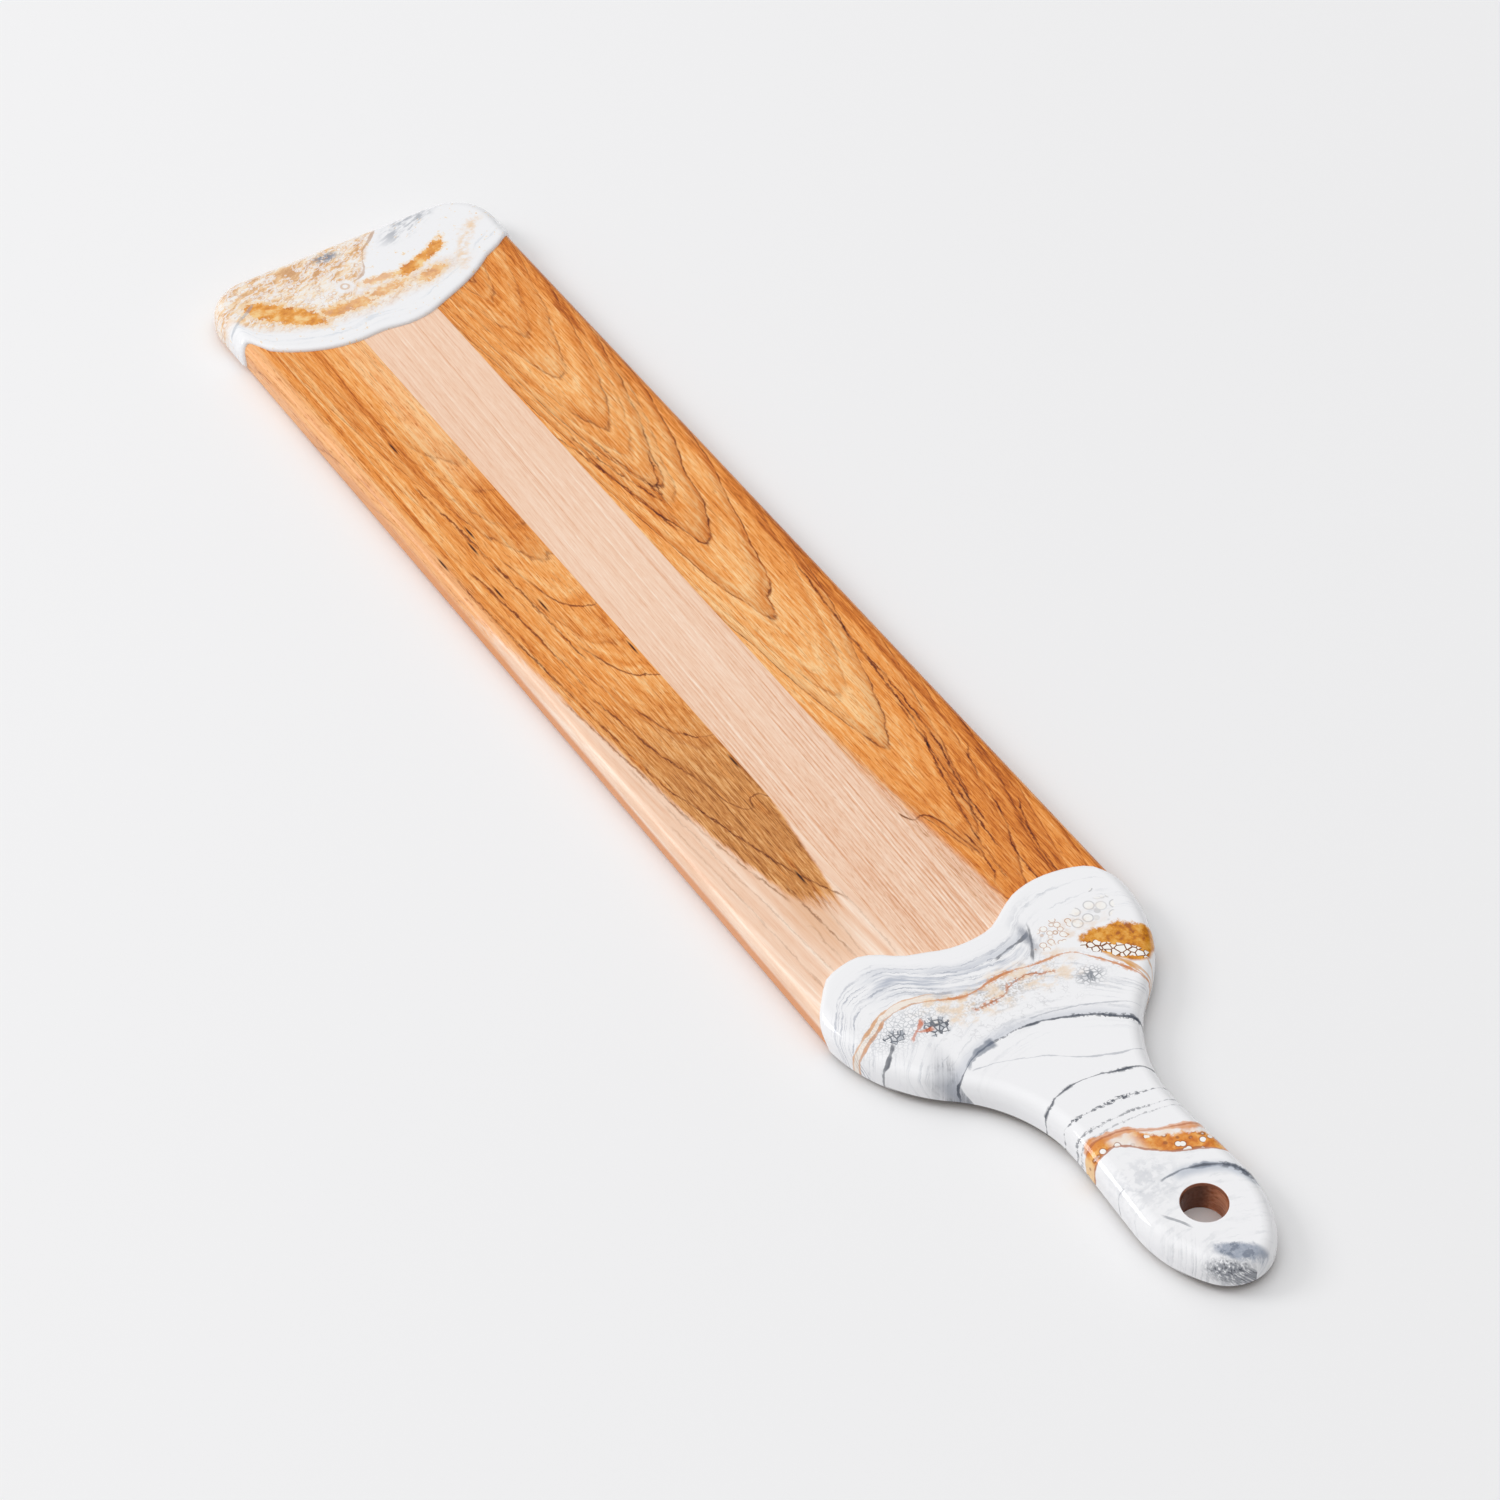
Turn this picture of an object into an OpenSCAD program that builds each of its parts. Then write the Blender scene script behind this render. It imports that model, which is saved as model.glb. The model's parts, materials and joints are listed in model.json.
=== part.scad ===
// Paddle serving board: three edge-glued hardwood staves with a poured resin coat over the handle and the far end.
// The board lies flat on z = 0. Its length runs along x with the handle at +x, and its plan centre is the origin.
// Inside the functions below, x is measured from the far end of the wood.

/* [Blade] */
// Length of the wood from the far end to the tip of the handle
board_length = 752; // [720:1:800]
// Width of the blade
blade_width = 152; // [146:1:160]
// Thickness of the planed wood
board_thickness = 14; // [11:0.5:20]
// Radius of the two corners at the far end, in plan
corner_radius = 22; // [12:1:30]
// Radius of the round-over along the top edges
top_round = 5; // [2:0.5:6]
// Radius of the round-over along the bottom edges
bottom_round = 3; // [1:0.5:4]

/* [Handle] */
// Distance from the tip of the handle back to where the shoulder starts
handle_length = 196.5; // [180:0.5:220]
// Radius of the convex shoulder where the blade turns in
shoulder_radius = 70; // [60:1:74]
// Radius of the hollow curve between shoulder and handle
neck_radius = 69.5; // [55:0.5:85]
// Width of the wood at the widest place of the handle
handle_width = 51.4; // [48:0.2:54]
// Angle by which each side of the handle widens towards the tip
handle_taper = 3.4; // [1:0.1:5]
// Distance from the tip of the handle back to its widest place
hip_from_tip = 40; // [34:0.5:46]
// Radius of the sides of the rounded handle end
hip_radius = 55; // [50:1:80]

/* [Hanging hole] */
// Diameter of the hole drilled through the handle
hole_diameter = 19.8; // [12:0.2:24]
// Distance from the tip of the handle back to the centre of the hole
hole_from_tip = 34.2; // [28:0.2:44]
// Width of the small chamfer round the top of the hole
hole_chamfer = 0.8; // [0.3:0.1:1.5]

/* [Staves] */
// Width of the centre stave
centre_stave_width = 41.8; // [38:0.2:43]
// Distance from the middle of the board to the middle of the centre stave, towards the left edge
centre_stave_shift = 3.5; // [2.5:0.1:5]
// Thickness of the glue film in each edge joint
glue_thickness = 0.2; // [0.15:0.05:0.4]

/* [Resin coat] */
// Thickness of the cured resin over the wood
coat_thickness = 1.8; // [1:0.1:3]
// Height above the underside at which the coat stops on the sides
coat_stop = 3.2; // [3:0.1:6]
// Rounding of the lower lip of the coat
lip_round = 0.9; // [0.3:0.1:0.9]
// Distance from the tip of the handle back to the mean line where the handle coat starts
handle_coat_reach = 210.5; // [200:0.5:230]
// Swing of the wavy edge of the handle coat to either side of that line
handle_wave = 10; // [4:0.5:14]
// Distance that the end coat reaches from the far end, at the middle
end_coat_reach = 71; // [55:1:90]
// Distance that the edge of the end coat draws back towards the long edges
end_wave = 33; // [20:1:40]

/* [Hidden] */

// Length by which cutting shapes run past what they cut
overrun = 5;

// Steps along each arc of the outline, and along the round-overs
corner_steps = 8;
shoulder_steps = 14;
neck_steps = 14;
hip_steps = 9;
tip_steps = 8;
top_round_steps = 5;
bottom_round_steps = 3;
edge_steps = 4;

half_width = blade_width / 2;
blade_edge = board_length - handle_length;
handle_coat_start = board_length - handle_coat_reach;

// The shoulder, hip and tip arcs each touch their neighbours without a kink
shoulder_centre = [blade_edge, half_width - shoulder_radius];
hip_centre = [board_length - hip_from_tip, handle_width / 2 - hip_radius];
tip_back = hip_radius - hip_from_tip;
tip_step = (pow(hip_radius - handle_width / 2, 2) - pow(tip_back, 2)) / (2 * tip_back);
tip_radius = hip_from_tip - tip_step;
tip_centre = [board_length - tip_radius, 0];
hip_angle = atan2(tip_centre.y - hip_centre.y, tip_centre.x - hip_centre.x);

// The neck arc touches the straight side of the handle and the shoulder arc
side_along = [cos(handle_taper), sin(handle_taper)];
side_normal = [-sin(handle_taper), cos(handle_taper)];
side_end = hip_centre + hip_radius * side_normal;
neck_reach = side_end + neck_radius * side_normal - shoulder_centre;
neck_along = neck_reach * side_along;
neck_span = shoulder_radius + neck_radius;
neck_slide = neck_along - sqrt(pow(neck_along, 2) - neck_reach * neck_reach + pow(neck_span, 2));
neck_centre = side_end + neck_radius * side_normal - neck_slide * side_along;
join_angle = atan2(neck_centre.y - shoulder_centre.y, neck_centre.x - shoulder_centre.x);

// The faces of the centre stave, and of the side staves a glue film away from it
centre_left = -centre_stave_shift - centre_stave_width / 2;
centre_right = centre_stave_width / 2 - centre_stave_shift;
left_joint = centre_left - glue_thickness;
right_joint = centre_right + glue_thickness;

coat_height = board_thickness + coat_thickness;
coat_top_round = top_round + coat_thickness;

// Edge of the handle coat: place across the half width, and swing towards the handle
handle_edge_shares = [
    [-1.00, 1.30], [-0.96, 0.55], [-0.90, 0.00], [-0.83, -0.60], [-0.71, -0.92], [-0.58, -0.98],
    [-0.48, -0.65], [-0.37, -0.02], [-0.25, 0.33], [-0.12, 0.70], [0.03, 0.82], [0.17, 0.68],
    [0.29, 0.14], [0.41, -0.35], [0.55, -0.58], [0.70, -0.52], [0.84, -0.22], [0.92, 0.15],
    [0.96, 0.65], [1.00, 1.60]
];

// Edge of the end coat: place across the half width, and how far it is drawn back
end_edge_shares = [
    [-1.00, 0.72], [-0.96, 0.87], [-0.93, 0.78], [-0.88, 0.55], [-0.72, 0.28], [-0.54, 0.10],
    [-0.35, 0.02], [-0.16, 0.03], [0.01, -0.03], [0.17, 0.01], [0.30, 0.12], [0.45, 0.26],
    [0.56, 0.38], [0.67, 0.53], [0.77, 0.70], [0.85, 0.77], [0.92, 0.88], [1.00, 1.06]
];

function arc_points(centre, radius, from_angle, to_angle, steps, first) =
    [for (i = [first:steps])
        let (angle = from_angle + (to_angle - from_angle) * i / steps)
        centre + radius * [cos(angle), sin(angle)]];

// One half of the plan outline, drawn in by that much, from the far end to the tip
function half_outline(inset) = concat(
    arc_points([corner_radius, half_width - corner_radius], corner_radius - inset, 180, 90, corner_steps, 0),
    arc_points(shoulder_centre, shoulder_radius - inset, 90, join_angle, shoulder_steps, 0),
    arc_points(neck_centre, neck_radius + inset, join_angle + 180, 270 + handle_taper, neck_steps, 1),
    arc_points(hip_centre, hip_radius - inset, 90 + handle_taper, hip_angle, hip_steps, 0),
    arc_points(tip_centre, tip_radius - inset, hip_angle, 0, tip_steps, 1)
);

function full_outline(inset) =
    let (half = half_outline(inset), last = len(half) - 1)
    concat(half, [for (i = [last - 1:-1:0]) [half[i].x, -half[i].y]]);

// Pairs of inset and height, from the underside up
wood_levels = concat(
    [for (i = [0:bottom_round_steps])
        let (angle = 90 * i / bottom_round_steps)
        [bottom_round * (1 - sin(angle)), bottom_round * (1 - cos(angle))]],
    [for (i = [0:top_round_steps])
        let (angle = 90 * i / top_round_steps)
        [top_round * (1 - cos(angle)), board_thickness - top_round * (1 - sin(angle))]]
);

coat_levels = concat(
    [[lip_round - coat_thickness, coat_stop], [-coat_thickness, coat_stop + lip_round]],
    [for (i = [0:top_round_steps])
        let (angle = 90 * i / top_round_steps)
        [coat_top_round * (1 - cos(angle)) - coat_thickness, coat_height - coat_top_round * (1 - sin(angle))]]
);

// A solid that follows the plan outline through those levels. Its flat faces are strips across the board
module outline_solid(levels) {
    last = len(half_outline(0)) - 1;
    count = 2 * last + 1;
    top = (len(levels) - 1) * count;
    points = [for (level = levels) for (p = full_outline(level[0])) [p.x, p.y, level[1]]];
    sides = [for (r = [0:len(levels) - 2]) for (k = [0:count - 1])
        let (next = (k + 1) % count)
        [r * count + k, r * count + next, (r + 1) * count + next, (r + 1) * count + k]];
    strips = concat(
        [for (k = [0:last - 2]) [k, k + 1, count - 2 - k, count - 1 - k]],
        [[last - 1, last, last + 1]]
    );
    top_strips = [for (strip = strips) [for (i = strip) top + i]];
    bottom_strips = [for (strip = strips) [for (j = [len(strip) - 1:-1:0]) strip[j]]];
    polyhedron(points = points, faces = concat(bottom_strips, sides, top_strips), convexity = 6);
}

function blend(a, b, c, d, t) =
    (2 * b + (c - a) * t + (2 * a - 5 * b + 4 * c - d) * pow(t, 2) + (3 * b - a - 3 * c + d) * pow(t, 3)) / 2;

// A smooth curve through the points of a list
function smooth_curve(points) =
    let (last = len(points) - 1)
    concat(
        [for (i = [0:last - 1]) for (j = [0:edge_steps - 1])
            blend(points[max(i - 1, 0)], points[i], points[i + 1], points[min(i + 2, last)], j / edge_steps)],
        [points[last]]
    );

handle_edge = smooth_curve([for (s = handle_edge_shares)
    [handle_coat_start + handle_wave * s[1], half_width * s[0]]]);

end_edge = smooth_curve([for (s = end_edge_shares)
    [end_coat_reach - end_wave * s[1], half_width * s[0]]]);

// Everything on one side of a wavy edge, as far as that end
module beyond_edge(edge, end_x) {
    outer = half_width + coat_thickness + overrun;
    first = edge[0];
    last = edge[len(edge) - 1];
    translate([0, 0, -overrun])
        linear_extrude(height = coat_height + 2 * overrun)
            polygon(concat([[end_x, -outer], [first.x, -outer]], edge, [[last.x, outer], [end_x, outer]]));
}

module hanging_hole() {
    translate([board_length - hole_from_tip, 0, -overrun])
        cylinder(h = coat_height + 2 * overrun, d = hole_diameter, $fn = 96);
}

module hole_rim_chamfer() {
    translate([board_length - hole_from_tip, 0, coat_height - hole_chamfer])
        cylinder(h = 2 * hole_chamfer, d1 = hole_diameter, d2 = hole_diameter + 4 * hole_chamfer, $fn = 96);
}

module whole_wood() {
    outline_solid(wood_levels);
}

// A coat all round the top and sides, before its two ends are parted
module whole_coat() {
    difference() {
        outline_solid(coat_levels);
        whole_wood();
    }
}

// The full thickness between two places across the board, from the far end as far as that
module strip(from_y, to_y, end_x) {
    translate([-overrun, from_y, -overrun])
        cube([end_x + overrun, to_y - from_y, board_thickness + 2 * overrun]);
}

module centred() {
    translate([-board_length / 2, 0, 0])
        children();
}

module stave_left() {
    color([0.71, 0.45, 0.27])
        centred()
            intersection() {
                whole_wood();
                strip(-half_width - overrun, left_joint, neck_centre.x);
            }
}

module stave_centre() {
    color([0.87, 0.72, 0.57])
        centred()
            difference() {
                whole_wood();
                strip(-half_width - overrun, centre_left, neck_centre.x);
                strip(centre_right, half_width + overrun, board_length + overrun);
                hanging_hole();
            }
}

module stave_right() {
    color([0.74, 0.47, 0.29])
        centred()
            intersection() {
                whole_wood();
                strip(right_joint, half_width + overrun, board_length + overrun);
            }
}

module glue_left() {
    color([0.56, 0.40, 0.22])
        centred()
            intersection() {
                whole_wood();
                strip(left_joint, centre_left, neck_centre.x);
            }
}

module glue_right() {
    color([0.56, 0.40, 0.22])
        centred()
            intersection() {
                whole_wood();
                strip(centre_right, right_joint, board_length + overrun);
            }
}

module resin_handle() {
    color([0.94, 0.93, 0.91])
        centred()
            difference() {
                intersection() {
                    whole_coat();
                    beyond_edge(handle_edge, board_length + coat_thickness + overrun);
                }
                hanging_hole();
                hole_rim_chamfer();
            }
}

module resin_end() {
    color([0.93, 0.91, 0.87])
        centred()
            intersection() {
                whole_coat();
                beyond_edge(end_edge, -coat_thickness - overrun);
            }
}

stave_left();
stave_centre();
stave_right();
glue_left();
glue_right();
resin_handle();
resin_end();
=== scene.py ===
# Paddle serving board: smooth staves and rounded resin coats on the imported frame, with their materials,
# a pale floor, soft light and the camera. Lengths are in millimetres, and MM turns them into metres.
import json
import math

import bmesh
import bpy
from mathutils import Matrix, Vector


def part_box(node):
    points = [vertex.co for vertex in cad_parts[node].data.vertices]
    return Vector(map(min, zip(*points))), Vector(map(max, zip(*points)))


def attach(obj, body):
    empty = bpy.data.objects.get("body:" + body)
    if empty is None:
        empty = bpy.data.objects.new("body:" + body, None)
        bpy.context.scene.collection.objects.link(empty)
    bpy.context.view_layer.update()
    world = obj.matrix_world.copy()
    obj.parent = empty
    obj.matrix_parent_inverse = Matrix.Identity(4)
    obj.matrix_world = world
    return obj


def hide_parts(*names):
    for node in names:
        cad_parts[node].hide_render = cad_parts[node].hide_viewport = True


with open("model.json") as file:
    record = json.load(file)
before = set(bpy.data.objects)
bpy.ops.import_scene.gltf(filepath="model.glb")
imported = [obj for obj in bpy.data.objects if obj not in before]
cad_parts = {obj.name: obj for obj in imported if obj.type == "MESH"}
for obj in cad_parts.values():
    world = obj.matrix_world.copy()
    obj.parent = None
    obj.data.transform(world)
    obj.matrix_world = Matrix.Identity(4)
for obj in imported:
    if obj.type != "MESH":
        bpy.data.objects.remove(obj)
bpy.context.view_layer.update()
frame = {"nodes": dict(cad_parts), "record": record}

MM = 0.001


def box_mm(node):
    low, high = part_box(node)
    return low / MM, high / MM


# Sizes read from the frame
CENTRE_LOW, CENTRE_HIGH = box_mm("stave_centre")
LEFT_HIGH = box_mm("stave_left")[1]
RIGHT_LOW, RIGHT_HIGH = box_mm("stave_right")
COAT_LOW, COAT_HIGH = box_mm("resin_handle")
FAR_END = CENTRE_LOW.x
TIP = CENTRE_HIGH.x
HALF_WIDTH = RIGHT_HIGH.y
THICKNESS = CENTRE_HIGH.z
NECK_X = LEFT_HIGH.x
LEFT_JOINT = LEFT_HIGH.y
RIGHT_JOINT = RIGHT_LOW.y
CENTRE_LEFT = box_mm("glue_left")[1].y
CENTRE_RIGHT = CENTRE_HIGH.y
COAT = COAT_HIGH.z - THICKNESS
COAT_STOP = COAT_LOW.z
HOLE_X = frame["record"]["mounts"][0]["pos_m"][0] / MM
HOLE_RADIUS = frame["record"]["mounts"][0]["dims"]["r_mm"]

# Sizes of the outline and of its round-overs
CORNER_RADIUS = 22.0
TOP_ROUND = 5.0
BOTTOM_ROUND = 3.0
SHOULDER_START = TIP - 196.5
SHOULDER_RADIUS = 70.0
NECK_RADIUS = 69.5
HANDLE_HALF_WIDTH = 25.7
HANDLE_TAPER = math.radians(3.4)
HIP_FROM_TIP = 40.0
HIP_RADIUS = 55.0
LIP_ROUND = 0.9
RIM_ROUND = 0.5
SUPPORT = 0.6
OVERRUN = 6.0

# Fineness of the meshes
CORNER_STEPS = 24
SHOULDER_STEPS = 40
NECK_STEPS = 40
SIDE_STEPS = 8
HIP_STEPS = 28
TIP_STEPS = 30
TOP_STEPS = 9
BOTTOM_STEPS = 5
LIP_STEPS = 4
WALL_STEPS = 3
FLAT_STEPS = 32
EDGE_ROWS = 18
HOLE_STEPS = 128
RIM_STEPS = 6
SHARP_ANGLE = math.radians(35)
MERGE_GAP = 0.002
SLIVER = 0.0005

# Step over which the slope of a curved line is taken, and how closely rows crowd at the edge of a pour
SLOPE_STEP = 0.5
EDGE_CROWDING = 2.2

# Wavy edges of the resin coats: distance across the board, unrolled down the sides, and place along it.
# The rounded edge of the pour is this wide
POUR_EDGE = 2.4
HANDLE_JOIN = 194.0
HANDLE_EDGE = [
    (-85, 184), (-79, 178.5), (-73, 171), (-68.4, 165.5), (-63, 159.5), (-54, 156.3), (-44, 155.7),
    (-36.5, 159), (-28, 165.3), (-19, 168.8), (-9, 172.5), (2.3, 173.7), (13, 172.3), (22, 167), (31, 162),
    (42, 159.7), (53, 160.3), (64, 163.3), (70, 167), (73, 172), (79, 181.5), (85, 183),
]
END_JOIN = FAR_END + 29.0
END_EDGE = [
    (-85, -330), (-79, -331), (-73, -333.5), (-70.7, -330.8), (-66.9, -323), (-54.7, -314.2), (-41, -308.3),
    (-26.6, -305.7), (-12, -306), (0.8, -304), (12.9, -305.3), (22.8, -309), (34.2, -313.6), (42.6, -317.5),
    (51, -322.5), (58.5, -328), (64.6, -330.5), (70, -334), (76, -338), (85, -341),
]


def arc(centre, radius, start, end, steps, side=1.0):
    """Points of an arc, each with the outward direction of the outline there."""
    places = []
    for i in range(steps + 1):
        angle = start + (end - start) * i / steps
        ray = Vector((math.cos(angle), math.sin(angle)))
        places.append((centre + radius * ray, side * ray))
    return places


# Centres of the arcs of the outline, each tangent to the next
SHOULDER_CENTRE = Vector((SHOULDER_START, HALF_WIDTH - SHOULDER_RADIUS))
HIP_CENTRE = Vector((TIP - HIP_FROM_TIP, HANDLE_HALF_WIDTH - HIP_RADIUS))
TIP_BACK = HIP_RADIUS - HIP_FROM_TIP
TIP_STEP = ((HIP_RADIUS - HANDLE_HALF_WIDTH) ** 2 - TIP_BACK ** 2) / (2 * TIP_BACK)
TIP_RADIUS = HIP_FROM_TIP - TIP_STEP
TIP_CENTRE = Vector((TIP - TIP_RADIUS, 0))
HIP_ANGLE = math.atan2(TIP_CENTRE.y - HIP_CENTRE.y, TIP_CENTRE.x - HIP_CENTRE.x)
SIDE_ALONG = Vector((math.cos(HANDLE_TAPER), math.sin(HANDLE_TAPER)))
SIDE_NORMAL = Vector((-math.sin(HANDLE_TAPER), math.cos(HANDLE_TAPER)))
NECK_REACH = HIP_CENTRE + (HIP_RADIUS + NECK_RADIUS) * SIDE_NORMAL - SHOULDER_CENTRE
NECK_ALONG = NECK_REACH.dot(SIDE_ALONG)
NECK_SPAN = SHOULDER_RADIUS + NECK_RADIUS
NECK_SLIDE = NECK_ALONG - math.sqrt(NECK_ALONG ** 2 - NECK_REACH.length_squared + NECK_SPAN ** 2)
NECK_CENTRE = HIP_CENTRE + (HIP_RADIUS + NECK_RADIUS) * SIDE_NORMAL - NECK_SLIDE * SIDE_ALONG
JOIN_ANGLE = math.atan2(NECK_CENTRE.y - SHOULDER_CENTRE.y, NECK_CENTRE.x - SHOULDER_CENTRE.x)

CORNER = arc(Vector((FAR_END + CORNER_RADIUS, HALF_WIDTH - CORNER_RADIUS)), CORNER_RADIUS,
             math.pi, math.pi / 2, CORNER_STEPS)
SHOULDER = arc(SHOULDER_CENTRE, SHOULDER_RADIUS, math.pi / 2, JOIN_ANGLE, SHOULDER_STEPS)
NECK = arc(NECK_CENTRE, NECK_RADIUS, JOIN_ANGLE + math.pi, 1.5 * math.pi + HANDLE_TAPER, NECK_STEPS, -1.0)
HIP = arc(HIP_CENTRE, HIP_RADIUS, math.pi / 2 + HANDLE_TAPER, HIP_ANGLE, HIP_STEPS)
END_OF_TIP = arc(TIP_CENTRE, TIP_RADIUS, HIP_ANGLE, 0, TIP_STEPS)
GRIP = [(NECK[-1][0].lerp(HIP[0][0], i / SIDE_STEPS), SIDE_NORMAL) for i in range(1, SIDE_STEPS)]
HALF_OUTLINE = CORNER + SHOULDER + NECK[1:] + GRIP + HIP + END_OF_TIP[1:]


def outline_at(x):
    """The outline and its outward direction at that place on the blade or the start of the shoulder."""
    if x <= SHOULDER_START:
        return Vector((x, HALF_WIDTH)), Vector((0, 1))
    ray = Vector(((x - SHOULDER_START) / SHOULDER_RADIUS, 0))
    ray.y = math.sqrt(1 - ray.x ** 2)
    return SHOULDER_CENTRE + SHOULDER_RADIUS * ray, ray


def smooth(points, place):
    """The height at a place of a smooth curve through points that are sorted by place."""
    last = len(points) - 1
    place = min(max(place, points[0][0]), points[last][0])
    i = 0
    while i < last - 1 and place > points[i + 1][0]:
        i += 1

    def slope(k):
        low, high = max(k - 1, 0), min(k + 1, last)
        return (points[high][1] - points[low][1]) / (points[high][0] - points[low][0])

    span = points[i + 1][0] - points[i][0]
    t = (place - points[i][0]) / span
    return ((2 * t ** 3 - 3 * t ** 2 + 1) * points[i][1] + (t ** 3 - 2 * t ** 2 + t) * span * slope(i)
            + (3 * t ** 2 - 2 * t ** 3) * points[i + 1][1] + (t ** 3 - t ** 2) * span * slope(i + 1))


def make_object(name, points, faces):
    """A mesh object from points in millimetres, with doubled points merged and faces turned outwards."""
    mesh = bpy.data.meshes.new(name)
    shape = bmesh.new()
    corners = [shape.verts.new(Vector(p) * MM) for p in points]
    for face in faces:
        shape.faces.new([corners[i] for i in face])
    bmesh.ops.remove_doubles(shape, verts=shape.verts, dist=MERGE_GAP * MM)
    bmesh.ops.dissolve_degenerate(shape, edges=shape.edges, dist=SLIVER * MM)
    bmesh.ops.recalc_face_normals(shape, faces=shape.faces)
    shape.to_mesh(mesh)
    shape.free()
    made = bpy.data.objects.new(name, mesh)
    bpy.context.scene.collection.objects.link(made)
    return made


def carve(target, operation, cutter):
    """Cuts the target's own mesh with a cutter, which is then removed."""
    modifier = target.modifiers.new("cut", "BOOLEAN")
    modifier.operation = operation
    modifier.object = cutter
    modifier.solver = "EXACT"
    bpy.context.view_layer.update()
    seen = target.evaluated_get(bpy.context.evaluated_depsgraph_get())
    result = bpy.data.meshes.new_from_object(seen)
    target.modifiers.clear()
    target.data = result
    bpy.data.objects.remove(cutter)


def soften(piece):
    """Smooth shading that keeps true edges and lets the large flat faces set the normals."""
    piece.data.shade_smooth()
    piece.data.set_sharp_from_angle(angle=SHARP_ANGLE)
    weighted = piece.modifiers.new("even shading", "WEIGHTED_NORMAL")
    weighted.keep_sharp = True


def block(x_range, y_range):
    """A box through the full thickness, used for cutting."""
    corners = [(x, y, z) for z in (-OVERRUN, THICKNESS + OVERRUN) for y in y_range for x in x_range]
    sides = [(0, 1, 3, 2), (4, 5, 7, 6), (0, 1, 5, 4), (2, 3, 7, 6), (0, 2, 6, 4), (1, 3, 7, 5)]
    return make_object("block", corners, sides)


def grid_faces(row_count, width, base=0, closed=True):
    """Faces between neighbouring rows of points; in a closed row the last point joins the first."""
    faces = []
    for r in range(row_count - 1):
        low = base + r * width
        for c in range(width if closed else width - 1):
            after = (c + 1) % width
            faces.append([low + c, low + after, low + width + after, low + width + c])
    return faces


def lathe(profile):
    """A closed solid of revolution round the axis of the hanging hole, from pairs of radius and height."""
    points = []
    for radius, z in profile:
        for k in range(HOLE_STEPS):
            angle = 2 * math.pi * k / HOLE_STEPS
            points.append((HOLE_X + radius * math.cos(angle), radius * math.sin(angle), z))
    faces = grid_faces(len(profile), HOLE_STEPS)
    faces.append(list(range(HOLE_STEPS)))
    faces.append([(len(profile) - 1) * HOLE_STEPS + k for k in range(HOLE_STEPS)])
    return make_object("lathe", points, faces)


def wood_levels():
    """Pairs of inset and height from the underside up, with a support ring on each flat face."""
    levels = [(BOTTOM_ROUND + SUPPORT, 0)]
    for i in range(BOTTOM_STEPS + 1):
        angle = math.pi / 2 * i / BOTTOM_STEPS
        levels.append((BOTTOM_ROUND * (1 - math.sin(angle)), BOTTOM_ROUND * (1 - math.cos(angle))))
    for i in range(TOP_STEPS + 1):
        angle = math.pi / 2 * i / TOP_STEPS
        levels.append((TOP_ROUND * (1 - math.cos(angle)), THICKNESS - TOP_ROUND * (1 - math.sin(angle))))
    levels.append((TOP_ROUND + SUPPORT, THICKNESS))
    return levels


def whole_wood(name):
    """The glued-up board before it is parted into staves."""
    last = len(HALF_OUTLINE) - 1
    count = 2 * last + 1
    levels = wood_levels()
    points = []
    for inset, z in levels:
        half = [place - inset * normal for place, normal in HALF_OUTLINE]
        points += [(p.x, p.y, z) for p in half]
        points += [(p.x, -p.y, z) for p in reversed(half[:-1])]
    faces = grid_faces(len(levels), count)
    for base in (0, (len(levels) - 1) * count):
        for k in range(last - 1):
            faces.append([base + k, base + k + 1, base + count - 2 - k, base + count - 1 - k])
        faces.append([base + last - 1, base + last, base + last + 1])
    return make_object(name, points, faces)


def make_staves():
    """The three staves, parted along the glue joints; the handle belongs to the centre stave."""
    outside = HALF_WIDTH + OVERRUN
    along = (FAR_END - OVERRUN, TIP + OVERRUN)
    blade = (FAR_END - OVERRUN, NECK_X)
    left = whole_wood("stave_left_visual")
    carve(left, "INTERSECT", block(blade, (-outside, LEFT_JOINT)))
    right = whole_wood("stave_right_visual")
    carve(right, "INTERSECT", block(along, (RIGHT_JOINT, outside)))
    centre = whole_wood("stave_centre_visual")
    carve(centre, "DIFFERENCE", block(blade, (-outside, CENTRE_LEFT)))
    carve(centre, "DIFFERENCE", block(along, (CENTRE_RIGHT, outside)))
    carve(centre, "DIFFERENCE", lathe([(HOLE_RADIUS, -OVERRUN), (HOLE_RADIUS, THICKNESS + OVERRUN)]))
    return left, centre, right


# Columns of a coat's section, from the lower lip up to the flat: kind of stretch and how far along it
COLUMNS = ([("lip", i / LIP_STEPS) for i in range(LIP_STEPS)]
           + [("wall", i / WALL_STEPS) for i in range(WALL_STEPS)]
           + [("round", i / TOP_STEPS) for i in range(TOP_STEPS + 1)])
WALL_LOW = COAT_STOP + LIP_ROUND
WALL_HIGH = THICKNESS - TOP_ROUND
FLAT_EDGE = HALF_WIDTH - TOP_ROUND
EDGE_FRACTION = 0.985
FRACTIONS = ([1.0, EDGE_FRACTION] + [1 - 2 * i / FLAT_STEPS for i in range(1, FLAT_STEPS)]
             + [-EDGE_FRACTION, -1.0])


def unrolled(column):
    """Distance from the middle of the board to a column of the section, along the surface."""
    kind, share = column
    if kind == "round":
        return FLAT_EDGE + TOP_ROUND * math.pi / 2 * (1 - share)
    height = WALL_LOW + (WALL_HIGH - WALL_LOW) * share
    if kind == "lip":
        height = COAT_STOP + LIP_ROUND * share
    return FLAT_EDGE + TOP_ROUND * math.pi / 2 + WALL_HIGH - height


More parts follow.
